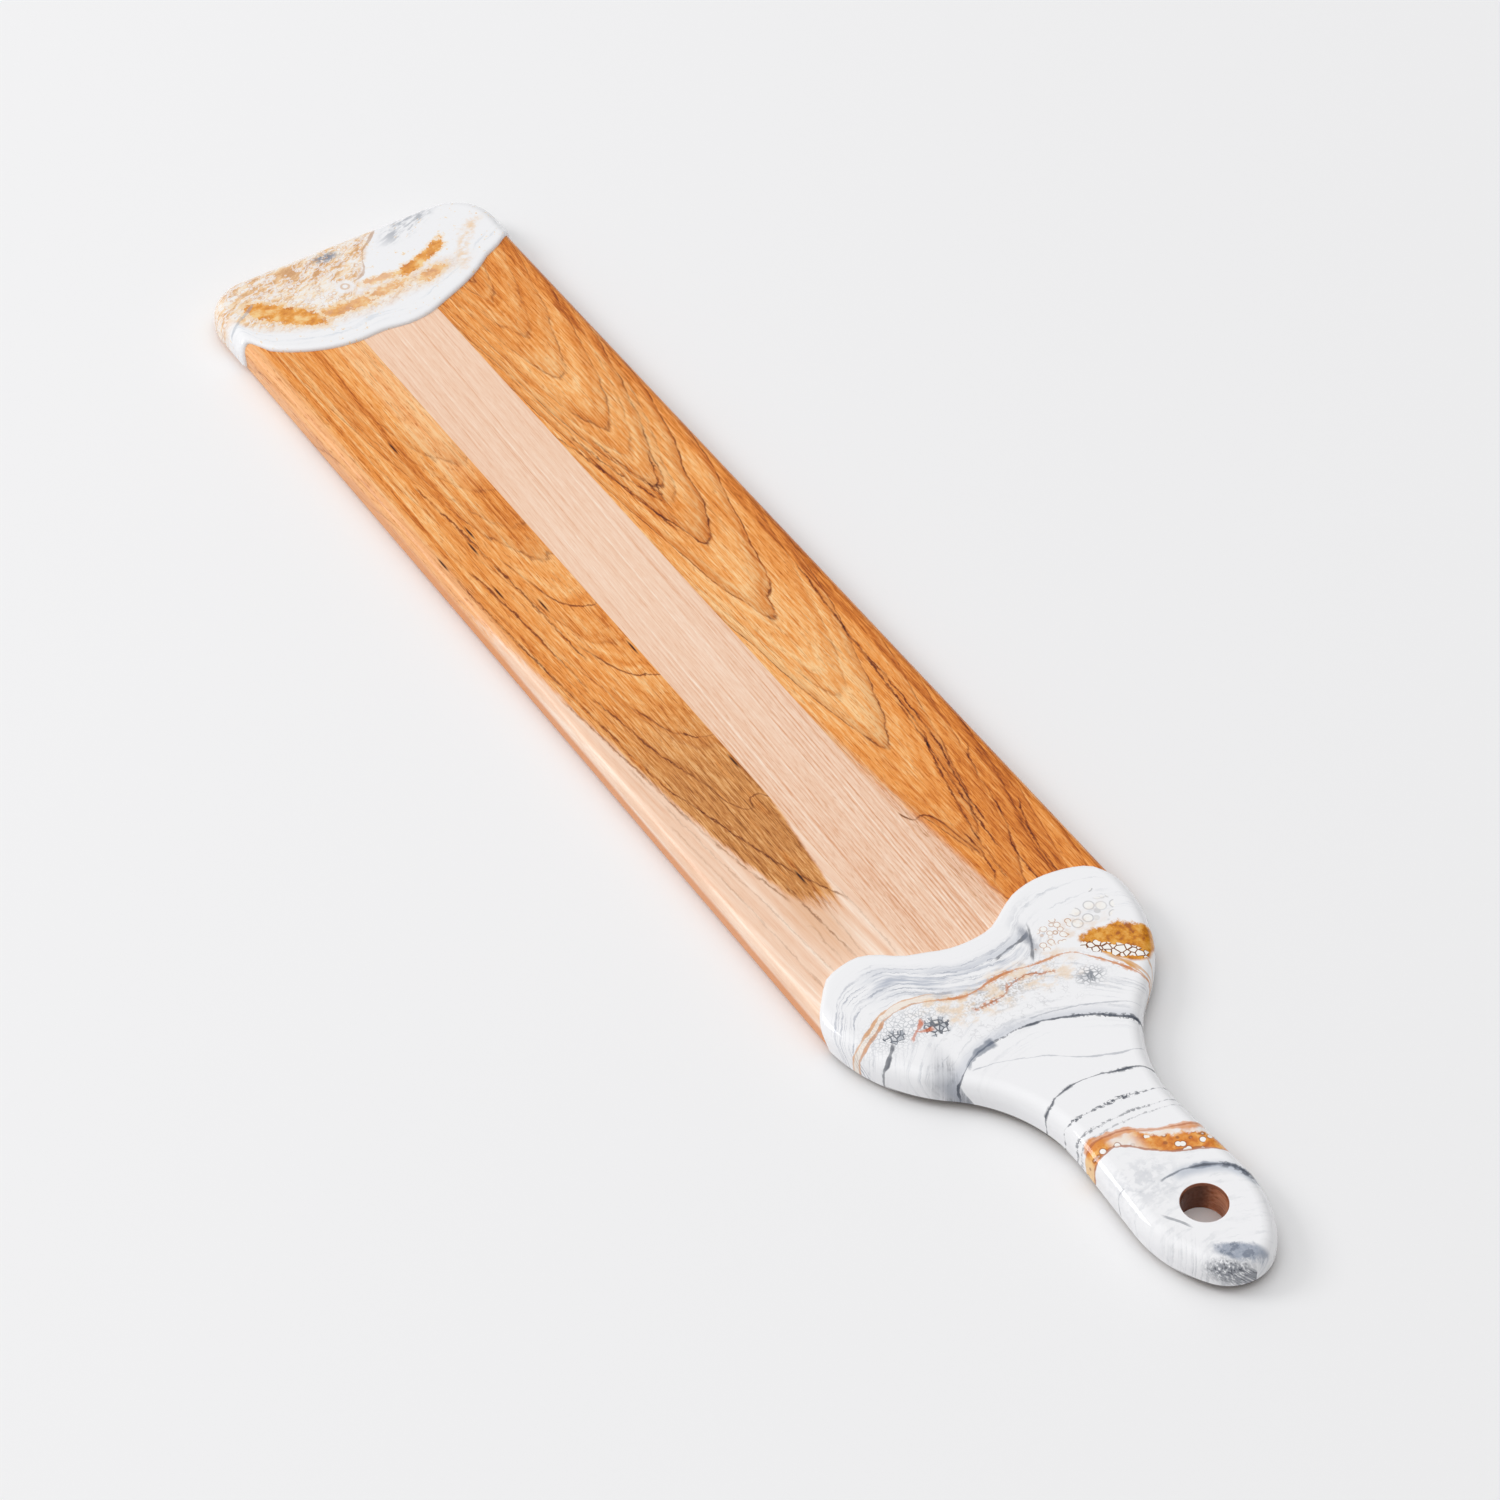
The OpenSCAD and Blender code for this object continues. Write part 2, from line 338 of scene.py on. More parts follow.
def section_point(place, normal, column, thickness, side):
    """A point of the coat over the rounded edge of the board, that far above the wood."""
    kind, share = column
    if kind == "lip":
        angle = math.pi / 2 * share
        out, z = thickness * math.sin(angle), COAT_STOP + LIP_ROUND * (1 - math.cos(angle))
    elif kind == "wall":
        out, z = thickness, WALL_LOW + (WALL_HIGH - WALL_LOW) * share
    else:
        angle = math.pi / 2 * share
        out = (TOP_ROUND + thickness) * math.cos(angle) - TOP_ROUND
        z = WALL_HIGH + (TOP_ROUND + thickness) * math.sin(angle)
    p = place + out * normal
    return (p.x, side * p.y, z)


def row_points(places, thicknesses):
    """One row of a coat across the board, given the outline place and the thickness of each column."""
    row = []
    count = len(COLUMNS)
    total = 2 * count + len(FRACTIONS) - 2
    for c in range(total):
        place, normal = places[c]
        if c < count:
            row.append(section_point(place, normal, COLUMNS[c], thicknesses[c], 1))
        elif c >= total - count:
            row.append(section_point(place, normal, COLUMNS[total - 1 - c], thicknesses[c], -1))
        else:
            flat = place - TOP_ROUND * normal
            row.append((flat.x, FRACTIONS[c - count + 1] * flat.y, THICKNESS + thicknesses[c]))
    return row


ACROSS = ([unrolled(c) for c in COLUMNS] + [f * FLAT_EDGE for f in FRACTIONS[1:-1]]
          + [-unrolled(c) for c in reversed(COLUMNS)])


def pour_rows(edge, join, thickness):
    """Rows of a coat from its rounded wavy edge to the place where the rows run straight across."""
    rows = []
    starts = [smooth(edge, v) for v in ACROSS]
    slopes = [(smooth(edge, v + SLOPE_STEP) - smooth(edge, v - SLOPE_STEP)) / (2 * SLOPE_STEP)
              for v in ACROSS]
    for r in range(EDGE_ROWS):
        share = (r / EDGE_ROWS) ** EDGE_CROWDING
        places = []
        depths = []
        for start, slope in zip(starts, slopes):
            x = start + (join - start) * share
            inside = abs(x - start) / math.sqrt(1 + slope ** 2)
            fall = 1 - min(inside / POUR_EDGE, 1)
            places.append(outline_at(x))
            depths.append(thickness * math.sqrt(1 - fall ** 2))
        rows.append(row_points(places, depths))
    return rows


def stitch(rows, points, faces):
    """Adds a grid of rows to a list of points and a list of faces."""
    base = len(points)
    width = len(rows[0])
    for row in rows:
        points += row
    faces += grid_faces(len(rows), width, base, closed=False)


def even_row(place, normal, thickness):
    return row_points([(place, normal)] * len(ACROSS), [thickness] * len(ACROSS))


def make_handle_coat():
    """The resin over the handle and shoulder, as a closed shell with a rounded rim at the hole."""
    points, faces = [], []
    beyond = [outline_at(HANDLE_JOIN)]
    beyond += [p for p in HALF_OUTLINE if p[0].x > HANDLE_JOIN + 1]
    for thickness in (COAT, 0.0):
        rows = pour_rows(HANDLE_EDGE, HANDLE_JOIN, thickness)
        rows += [even_row(place, normal, thickness) for place, normal in beyond]
        stitch(rows, points, faces)
    coat = make_object("resin_handle_visual", points, faces)
    top = THICKNESS + COAT
    profile = [(HOLE_RADIUS, -OVERRUN)]
    for i in range(RIM_STEPS + 1):
        angle = math.pi / 2 * i / RIM_STEPS
        radius = HOLE_RADIUS + RIM_ROUND * (1 - math.cos(angle))
        profile.append((radius, top - RIM_ROUND * (1 - math.sin(angle))))
    profile.append((HOLE_RADIUS + RIM_ROUND, top + OVERRUN))
    carve(coat, "DIFFERENCE", lathe(profile))
    return coat


def make_end_coat():
    """The resin over the far end, as a closed shell."""
    points, faces = [], []
    for thickness in (COAT, 0.0):
        rows = pour_rows(END_EDGE, END_JOIN, thickness)
        rows.append(even_row(*outline_at(END_JOIN), thickness))
        rows += [even_row(place, normal, thickness) for place, normal in reversed(CORNER)]
        stitch(rows, points, faces)
        place, normal = CORNER[0]
        wall = []
        for f in FRACTIONS:
            start = Vector((place.x, place.y * f))
            wall.append([section_point(start, normal, column, thickness, 1) for column in COLUMNS])
        stitch(wall, points, faces)
    return make_object("resin_end_visual", points, faces)


def paint(red, green, blue):
    """A colour written as it shows on the screen, 0 to 255, as the linear colour that nodes use."""
    def linear(level):
        share = level / 255
        return share / 12.92 if share <= 0.04045 else ((share + 0.055) / 1.055) ** 2.4
    return (linear(red), linear(green), linear(blue), 1.0)


def sum_of(operation):
    """A method for one kind of sum, of a value alone or with another one."""
    def method(self, *others):
        return self.shader.math(operation, self, *others)
    return method


class Number:
    """A value inside a node tree, on which sums are written as in plain Python."""

    def __init__(self, shader, socket):
        self.shader = shader
        self.socket = socket

    def __rsub__(self, other):
        return self.shader.math("SUBTRACT", other, self)

    __add__ = __radd__ = sum_of("ADD")
    __mul__ = __rmul__ = sum_of("MULTIPLY")
    __sub__ = sum_of("SUBTRACT")
    __truediv__ = sum_of("DIVIDE")
    __pow__ = sum_of("POWER")
    __abs__ = sum_of("ABSOLUTE")
    at_least = sum_of("MAXIMUM")
    at_most = sum_of("MINIMUM")
    sign = sum_of("SIGN")

    def ramp(self, low, high):
        """0 up to low, 1 from high, and a smooth step between; low may be the larger."""
        node = self.shader.node("ShaderNodeMapRange")
        node.interpolation_type = "SMOOTHSTEP"
        self.shader.feed(node.inputs["Value"], self)
        node.inputs["From Min"].default_value = low
        node.inputs["From Max"].default_value = high
        return Number(self.shader, node.outputs["Result"])

    def between(self, low, high, soft):
        """1 between two values, falling to 0 outside over the soft width."""
        return self.ramp(low - soft, low + soft) * self.ramp(high + soft, high - soft)


class Shader:
    """Builds the nodes of a material or of the world, in object coordinates: the row frame in millimetres."""

    def __init__(self, owner, place="Object", unit=MM):
        owner.use_nodes = True
        self.owner = owner
        self.colour = None
        self.tree = owner.node_tree
        parts = self.node("ShaderNodeSeparateXYZ")
        self.tree.links.new(self.node("ShaderNodeTexCoord").outputs[place], parts.inputs[0])
        self.x, self.y, self.z = [Number(self, socket) / unit for socket in parts.outputs]

    def node(self, kind):
        return self.tree.nodes.new(kind)

    def feed(self, socket, value):
        """Links a value or sets a plain one; three levels are a colour as it shows on the screen."""
        if isinstance(value, Number):
            self.tree.links.new(value.socket, socket)
        elif isinstance(value, tuple) and len(value) == 3:
            socket.default_value = paint(*value)
        else:
            socket.default_value = value

    def math(self, operation, *values):
        node = self.node("ShaderNodeMath")
        node.operation = operation
        for socket, value in zip(node.inputs, values):
            self.feed(socket, value)
        return Number(self, node.outputs[0])

    def point(self, x, y, z=0.0):
        node = self.node("ShaderNodeCombineXYZ")
        for socket, value in zip(node.inputs, (x, y, z)):
            self.feed(socket, value)
        return Number(self, node.outputs[0])

    def noise(self, x, y, z=0.0, detail=2.0, roughness=0.5):
        """Cloudy noise with features about one unit wide, 0.5 on average."""
        node = self.node("ShaderNodeTexNoise")
        self.feed(node.inputs["Vector"], self.point(x, y, z))
        node.inputs["Scale"].default_value = 1.0
        node.inputs["Detail"].default_value = detail
        node.inputs["Roughness"].default_value = roughness
        return Number(self, node.outputs["Fac"])

    def cells(self, place):
        """Cells one unit wide: distance from the wall and from the middle, and each cell's own level."""
        found = []
        for feature in ("DISTANCE_TO_EDGE", "F1"):
            node = self.node("ShaderNodeTexVoronoi")
            node.feature = feature
            self.feed(node.inputs["Vector"], place)
            node.inputs["Scale"].default_value = 1.0
            found.append(Number(self, node.outputs["Distance"]))
        parts = self.node("ShaderNodeSeparateColor")
        self.tree.links.new(node.outputs["Color"], parts.inputs[0])
        return found[0], found[1], Number(self, parts.outputs[0])

    def curve(self, value, points):
        """A smooth curve through points that pair a place with a height."""
        low, high = points[0][0], points[-1][0]
        heights = [height for _, height in points]
        floor, rise = min(heights), max(max(heights) - min(heights), 1.0)
        node = self.node("ShaderNodeFloatCurve")
        line = node.mapping.curves[0]
        while len(line.points) < len(points):
            line.points.new(0.5, 0.5)
        for knot, (place, height) in zip(line.points, points):
            knot.location = ((place - low) / (high - low), (height - floor) / rise)
        node.mapping.update()
        self.feed(node.inputs["Value"], (value - low) / (high - low))
        return Number(self, node.outputs[0]) * rise + floor

    def line_gap(self, along, across, points):
        """Signed distance from a curved line through pairs of (across, along), square to the line."""
        here = self.curve(across, points)
        slope = (self.curve(across + SLOPE_STEP, points) - here) / SLOPE_STEP
        return (along - here) / (slope * slope + 1.0) ** 0.5

    def colours(self, value, stops):
        """A scale of colours, each at its place between 0 and 1."""
        node = self.node("ShaderNodeValToRGB")
        scale = node.color_ramp.elements
        while len(scale) < len(stops):
            scale.new(0.5)
        for stop, (place, colour) in zip(scale, stops):
            stop.position = place
            stop.color = paint(*colour)
        self.feed(node.inputs[0], value)
        return Number(self, node.outputs[0])

    def mix(self, factor, first, second, blend="MIX"):
        node = self.node("ShaderNodeMix")
        node.data_type = "RGBA"
        node.blend_type = blend
        self.feed(node.inputs[0], factor)
        self.feed(node.inputs[6], first)
        self.feed(node.inputs[7], second)
        return Number(self, node.outputs[2])

    def spot(self, x, y, across_x, across_y, blur):
        """1 inside an oval, 0 outside it."""
        reach = (((self.x - x) / across_x) ** 2.0 + ((self.y - y) / across_y) ** 2.0) ** 0.5
        return reach.ramp(1 + blur, 1 - blur)

    def blend(self, mask, colour):
        """Lays a colour over what has been painted so far, where the mask lets it show."""
        self.colour = self.mix(mask, self.colour, colour)

    def surface(self, colour, roughness, gloss=0.5, height=None, distance=0.0):
        """Sets the material's colour, roughness and gloss, and a fine relief where a height is given."""
        surface = self.tree.nodes["Principled BSDF"]
        self.feed(surface.inputs["Base Color"], colour)
        self.feed(surface.inputs["Roughness"], roughness)
        surface.inputs["Specular IOR Level"].default_value = gloss
        if height is not None:
            bump = self.node("ShaderNodeBump")
            bump.inputs["Strength"].default_value = 1.0
            bump.inputs["Distance"].default_value = distance * MM
            self.feed(bump.inputs["Height"], height)
            self.tree.links.new(bump.outputs[0], surface.inputs["Normal"])
        return self.owner


class Timber(Shader):
    """Sawn wood: a tone from 0 to 1 is turned into colour, and dark lines are drawn over it."""

    def __init__(self, name, slope=0.0):
        super().__init__(bpy.data.materials.new(name))
        across = self.y + self.x * slope
        self.long_fibre = self.fibre(across, 70, 1.3, 3.0, 0.65)
        self.short_fibre = self.fibre(across, 8, 0.6, 3.0, 0.65)
        self.pore = self.fibre(across, 5, 0.6, 1.0)
        self.dash = self.fibre(across, 26, 0.9)
        self.wander = self.fibre(self.y, 52, 12) - 0.5
        self.jag = self.fibre(self.y, 6, 3, 4.0, 0.7) - 0.5
        self.fade = self.fibre(self.y, 16, 7, 3.0, 0.6).ramp(0.38, 0.60)

    def fibre(self, across, length, width, detail=2.0, roughness=0.5):
        """Noise stretched along the grain, with features of that length and width."""
        return self.noise(self.x / length, across / width, self.z / width, detail, roughness)

    def grained(self, tone):
        return tone + (self.long_fibre - 0.5) + (self.short_fibre - 0.5) * 1.1

    def tint(self, tone, stops):
        self.colour = self.colours(self.grained(tone), stops)

    def figure(self, ring):
        """Soft light and dark patches that follow the rings."""
        return self.noise(ring / 11, self.y / 10, self.z / 10, 3.0, 0.6) - 0.5

    def burn(self, mask, tint):
        """Darkens the wood by a share of each of red, green and blue."""
        self.colour = self.mix(mask, self.colour, tint, "MULTIPLY")

    def ring_lines(self, ring, rings):
        """The dark lines of late wood at some growth rings, each with the tone that leads up to it."""
        for place, strength in rings:
            gap = ring - place
            glow = gap.ramp(-30, 0) * gap.ramp(1.5, -0.5)
            self.burn(glow * (0.5 * strength), WARM_SHADE)
            seen = (self.fade * 0.8 + 0.2) * strength
            self.burn(gap.ramp(-4.0, -0.5) * gap.ramp(4.0, 0.5) * seen * 0.7, WARM_SHADE)
            self.burn(gap.ramp(-1.5, -0.3) * gap.ramp(2.2, 0.3) * seen * 0.8, LATE_WOOD)

    def line(self, gap, width, seen):
        """A dark line with a warm edge, given the distance from it and how well it is seen."""
        self.burn(gap.ramp(width * 2.6, width * 0.5) * seen * 0.8, WARM_SHADE)
        self.burn(gap.ramp(width * 1.3, width * 0.4) * seen, LATE_WOOD)

    def seam(self, points, width, strength, shift=5.0):
        """A dark line across the grain, through pairs of distance across and place along."""
        gap = abs(self.line_gap(self.x + self.jag * shift, self.y, points))
        ends = self.y.between(points[0][0], points[-1][0], 0.7)
        self.line(gap, width, ends * (self.fade * 0.7 + 0.3) * strength)

    def long_seams(self, seams, width, strength, shift=3.5):
        """Dark lines along the grain, each through pairs of place along and distance across."""
        for points in seams:
            gap = abs(self.line_gap(self.y + self.jag * shift, self.x, points))
            ends = self.x.between(points[0][0], points[-1][0], 4.0)
            self.line(gap, width, ends * (self.fade * 0.65 + 0.35) * strength)

    def flecks(self, strength):
        """Short dark dashes and pores along the grain."""
        self.burn(self.dash.ramp(0.58, 0.68) * (self.fade * 0.7 + 0.3) * strength, WARM_SHADE)
        self.burn(self.pore.ramp(0.58, 0.74) * strength, WARM_SHADE)

    def finish(self):
        height = self.long_fibre + self.short_fibre * 0.6 + self.pore * 0.5
        return self.surface(self.colour, self.short_fibre * 0.14 + 0.17, 0.28, height, 0.04)


# Colours of the wood, as scales and as shares of red, green and blue that dark lines leave
LATE_WOOD = (0.19, 0.06, 0.0, 1.0)
WARM_SHADE = (0.62, 0.42, 0.22, 1.0)
PALE_PORE = (0.80, 0.66, 0.54, 1.0)
BLACK_FLECK = (0.08, 0.03, 0.0, 1.0)
WARM_WOOD = [(0.0, (138, 64, 8)), (0.25, (198, 108, 30)), (0.5, (234, 146, 62)),
             (0.75, (247, 176, 102)), (1.0, (254, 208, 150))]
HEART_WOOD = [(0.0, (112, 66, 28)), (0.3, (160, 100, 46)), (0.55, (194, 128, 66)),
              (0.8, (216, 152, 88)), (1.0, (232, 176, 116))]
SAP_WOOD = [(0.0, (204, 138, 94)), (0.3, (228, 174, 138)), (0.55, (241, 201, 172)),
            (0.8, (248, 216, 192)), (1.0, (254, 234, 216))]
# Painted shade: a dull grey-brown laid on the wood past the edge of the handle coat, standing for the shade
# in the gap under the coat's lower lip
UNDER_LIP_SHADE = (140, 122, 108)

# The centre stave's grain runs this much across for each millimetre along, with rings this far apart
CENTRE_SLOPE = 0.028
RING_WAVE = 2 * math.pi / 1.9


def centre_wood():
    """Pale straight-grained sapwood."""
    timber = Timber("centre wood", CENTRE_SLOPE)
    x, y = timber.x, timber.y
    across = y + x * CENTRE_SLOPE + timber.wander * 1.2
    near = x.ramp(-120, 150)
    streak = timber.fibre(across, 300, 4.0, 3.0, 0.65) - 0.5
    fine = timber.fibre(across, 120, 0.9) - 0.5
    even = timber.math("SINE", (across + streak * 3.0) * RING_WAVE)
    tone = 0.64 - near * 0.08 + streak * 0.42 + fine * (near * 0.1 + 0.8) + even * (near * 0.11 + 0.03)
    tone = tone + (timber.short_fibre - 0.5) * (near * 0.3 + 0.7)
    timber.colour = timber.colours(tone, SAP_WOOD)
    timber.burn(timber.pore.ramp(0.54, 0.72) * (near * 0.4 + 0.12), PALE_PORE)
    # Inside the drilled hole the wood is bare and redder, darkest on the end grain; that darkening at the far
    # and near sides of the hole is end grain and also painted shade inside the hole
    hole = ((x - HOLE_X) ** 2.0 + y ** 2.0) ** 0.5
    wall = timber.mix(timber.long_fibre.ramp(0.3, 0.7), (176, 102, 64), (220, 152, 114))
    wall = timber.mix((abs(x - HOLE_X) / HOLE_RADIUS).ramp(0.4, 0.9) * 0.85, wall, (78, 38, 14))
    rim = hole.ramp(HOLE_RADIUS + 1.0, HOLE_RADIUS + 0.4)
    # Past the edge of the handle coat, outside the hole, the wood is painted dull grey-brown as painted shade
    # under the coat's lip
    timber.blend(x.ramp(176, 182) * (1.0 - rim), UNDER_LIP_SHADE)
    timber.blend(rim, wall)
    return timber.finish()


# Marks of the right stave: tone along it, growth rings with their strength, and dark lines
RIGHT_TONE = [(-380, 0.56), (-280, 0.64), (-200, 0.72), (-90, 0.76), (0, 0.82), (60, 0.70), (110, 0.54),
              (180, 0.44), (400, 0.44)]
RIGHT_RINGS = [(-338, 0.5), (-318, 0.5), (-300, 0.4), (-262, 0.35), (-230, 0.5), (-187, 0.55), (-165, 0.3),
               (-140, 0.8), (-128, 0.4), (-96, 1.0), (-39, 1.0), (24, 0.3), (58, 0.95), (134, 0.7),
               (172, 0.6), (214, 0.5), (252, 0.5), (300, 0.5)]
RIGHT_LINES = [
    [(-60, 66), (-20, 62), (35, 57), (57, 55), (73, 50), (99, 44), (125, 38.5), (150, 36)],
    [(78, 66), (91, 61), (111, 57.6), (125, 54), (143, 47.6), (165, 47)],
    [(118, 66), (135, 60), (153, 57), (170, 56)],
    [(-10, 60.5), (40, 59), (70, 56), (95, 50), (120, 47)],
    [(40, 55), (75, 51), (100, 47), (135, 43)],
    [(120, 35), (134, 35), (150, 31)],
]
RIGHT_HOOK = [(17, 94), (20.6, 102), (25, 102), (28.6, 105), (32.6, 125), (34, 134)]
GLOOM_LINES = [
    [(-200, 17), (-170, 23), (-140, 28), (-110, 32)],
    [(-190, 24), (-165, 28), (-140, 34), (-128, 37)],
    [(-185, 31), (-160, 34), (-138, 38), (-126, 38)],
    [(-160, 48), (-146, 43), (-136, 39)],
]


def right_wood():
    """Warm plain-sawn wood whose rings nest as pointed loops along the stave."""
    timber = Timber("right wood")
    x, y, z = timber.x, timber.y, timber.z
    axis = 38.0 - 0.02 * (x + 60)
    up, down = (y - axis).at_least(0), (axis - y).at_least(0)
    ring = x + 0.45 * up ** 1.6 + 0.75 * down ** 1.65 + (THICKNESS - z) * 2.0
    ring = ring + timber.wander * 30 + timber.jag * 10
    band = timber.noise(ring / 15, 0.5, 0.5, 4.0, 0.65) - 0.5
    feather = timber.fibre(y + x * 0.06, 26, 2.0, 4.0, 0.7)
    gloom = timber.spot(-140, 32, 56, 12, 0.6) * feather.ramp(0.40, 0.60)
    # The darker stripe along the right edge is partly grain and partly painted shade on the right round-over
    stripe = (y + timber.wander * 2).ramp(65.5, 67.5) * x.ramp(130, 80)
    shade = timber.spot(80, 55, 60, 10, 0.7) * 0.8 + y.ramp(46, 62) * x.between(-120, 50, 30) * 1.5
    tone = timber.curve(x, RIGHT_TONE) + band * 0.9 + timber.figure(ring) * 0.6
    timber.tint(tone - gloom * 0.24 - stripe * 0.26 - shade * 0.12, WARM_WOOD)
    timber.ring_lines(ring, RIGHT_RINGS)
    # The wood beside the joint pales towards the handle
    pale = (17.6 + x.ramp(0, 190) * 10 - y + timber.jag * 4).ramp(-2.5, 2.5) * x.ramp(0, 90)
    timber.blend(pale, timber.colours(timber.grained(0.45), SAP_WOOD))
    timber.long_seams(RIGHT_LINES, 0.42, 0.9)
    timber.seam(RIGHT_HOOK, 0.42, 0.8, 3.0)
    timber.long_seams(GLOOM_LINES, 0.45, 0.8, 5.0)
    timber.flecks(0.6)
    # Past the edge of the handle coat the wood is painted dull grey-brown as painted shade under the coat's
    # lip
    timber.blend(x.ramp(180, 186), UNDER_LIP_SHADE)
    return timber.finish()


# Marks of the left stave: tone along it, rings, straight stripes at the far end, dark lines and flecks
LEFT_TONE = [(-380, 0.66), (-280, 0.66), (-200, 0.68), (-120, 0.63), (-40, 0.64), (60, 0.58), (400, 0.52)]
LEFT_RINGS = [(-204, 0.45), (-179, 0.3), (-150, 0.4), (-127, 0.6), (-60, 0.35), (20, 0.35), (88, 0.4),
              (130, 0.4)]
FAR_STRIPES = [(-41, 1.0, 0.14), (-49.5, 1.3, 0.18), (-57, 1.5, 0.28), (-63.5, 1.0, 0.2), (-67.5, 1.3, 0.34)]
HEART_EDGE = [(-140, -76), (-40, -69.5), (-7, -66), (20, -63.5), (57, -59), (85, -54), (112, -48), (128, -41),
              (136, -34)]
HALF_LOOPS = [
    [(-47, -135), (-43, -115), (-40, -101), (-35, -93), (-29, -89), (-24, -88)],
    [(-46, -69), (-43, -59), (-39, -47), (-35, -40), (-29, -36), (-24, -33)],
    [(-47, -23), (-44, -15), (-40, -1), (-35, 5), (-29, 10), (-24, 11)],
    [(-43, 39), (-40, 53), (-35, 58), (-31, 52), (-24, 56)],
]
LEFT_LINES = [
    [(11, -61), (31, -59), (45, -55), (65, -50), (83, -45), (97, -41), (113, -34), (122, -30)],
    [(-35, -58), (-15, -55), (5, -52), (25, -47), (39, -43)],
    [(-135, -63), (-105, -60), (-45, -57)],
    [(-135, -71), (-95, -69), (-55, -66), (5, -62)],
    [(-200, -56), (-150, -52), (-110, -50), (-60, -48)],
]
HEART_LINES = [[(-40, -70), (20, -64), (57, -60.5), (112, -50.5)], [(105, -47), (125, -46), (155, -44)]]
SAP_LINES = [
    [(10, -67), (60, -64.5), (110, -60), (165, -56)],
    [(50, -70), (110, -67), (175, -65)],
    [(60, -26), (110, -29), (150, -28), (180, -30)],
    [(120, -38), (150, -40), (180, -39)],
    [(130, -51), (150, -50), (180, -51)],
]
LEFT_FLECKS = [(-230, -51), (-160, -50), (-150, -54), (-148, -71), (-100, -46), (-118, -59), (-55, -26),
               (30, -26), (104, -39)]


def left_wood():
    """Warm wood with half loops from the joint, a grey-brown heart and pale sapwood by the handle."""
    timber = Timber("left wood")
    x, y, z = timber.x, timber.y, timber.z
    depth = (-26.0 - y).at_least(0)
    ring = x + 0.018 * depth ** 2.5 + (THICKNESS - z) * 3.0 + timber.wander * 26 + timber.jag * 10
    band = timber.noise(ring / 14, 0.5, 0.5, 4.0, 0.65) - 0.5
    far = x.ramp(-100, -190)
    straight = y + timber.wander * 1.4 + x * 0.004
    stripes = timber.fibre(straight, 420, 3.0, 3.0, 0.6) - 0.5
    curl = timber.spot(-172, -30, 28, 6.5, 0.6) + timber.spot(-62, -28, 24, 6, 0.7) * 0.4
    upper_far = (y + timber.wander * 3).ramp(-41, -37) * x.ramp(-175, -215)
    tone = timber.curve(x, LEFT_TONE) + band * (0.9 - far * 0.7) + stripes * (far * 1.1 + 0.2)
    tone = tone - curl * 0.24 + upper_far * 0.06 + timber.figure(ring) * (0.7 - far * 0.55)
    for place, width, strength in FAR_STRIPES:
        tone = tone - abs(straight - place).ramp(width * 1.6, width * 0.3) * far * strength
    timber.tint(tone, WARM_WOOD)
    timber.blend(upper_far * 0.25, (246, 190, 144))
    # A pale band painted along the left round-over is a painted highlight
    timber.blend(y.ramp(-68.5, -72) * 0.6, (246, 190, 140))
    timber.ring_lines(ring, LEFT_RINGS)
    # The heart ends in a ragged tongue by the handle, and the wood beyond it is pale
    feather = timber.fibre(y + x * 0.08, 16, 1.1, 4.0, 0.7) - 0.5
    upper = y + 24 + 0.12 * (x - 57) + timber.jag * 2
    lower = timber.line_gap(y, x, HEART_EDGE) + timber.jag * 2 + feather * 6 + (THICKNESS - z) * 0.5
    blunt = (x + timber.jag * 8 + feather * 44 + abs(y + 40) * 0.4).ramp(134, 114)
    heart = lower.ramp(-1.6, 1.4) * upper.ramp(1.0, -1.0).at_least(x.ramp(62, 58)) * blunt
    brown = heart * x.ramp(-50, 45) * timber.noise(x / 40, y / 5).ramp(0.12, 0.45)
    heart_tone = 0.64 + band * 0.8 + (timber.long_fibre - 0.5) * 0.7 + (timber.short_fibre - 0.5) * 0.8
    timber.blend(brown * 0.9, timber.colours(timber.grained(heart_tone), HEART_WOOD))
    timber.flecks(0.7)
    sap_tone = timber.fibre(y - x * 0.06, 150, 4, 3.0, 0.6) * 1.3 + 0.06
    sap_tone = sap_tone + (timber.short_fibre - 0.5) * 0.5
    timber.blend(1.0 - heart, timber.colours(sap_tone, SAP_WOOD))
    timber.blend(timber.spot(122, -45, 26, 9, 0.8) * (1.0 - heart) * 0.5, (224, 170, 124))
    # Below the round-over the side is heartwood again
    side = z.ramp(9.5, 6.5) * y.ramp(-72, -75)
    timber.blend(side * x.ramp(-330, -120) * 0.85, (222, 142, 78))
    for points in HALF_LOOPS:
        timber.seam(points, 0.42, 0.75)
    timber.long_seams(LEFT_LINES, 0.42, 0.75)
    timber.long_seams(HEART_LINES, 0.45, 0.5)
    timber.long_seams(SAP_LINES, 0.4, 0.2)
    for place in LEFT_FLECKS:
        timber.burn(timber.spot(*place, 4.5, 0.5, 0.6), BLACK_FLECK)
    # Past the edge of the handle coat the wood is painted dull grey-brown as painted shade under the coat's
    # lip
    timber.blend(x.ramp(180, 186), UNDER_LIP_SHADE)
    return timber.finish()


def glue_film():
    """A thin amber line of dried glue."""
    shader = Shader(bpy.data.materials.new("glue film"))
    mottle = shader.noise(shader.x / 12, shader.y, shader.z / 4)
    colour = shader.mix(mottle, (222, 168, 120), (236, 188, 146))
    return shader.surface(colour, mottle * 0.2 + 0.35)


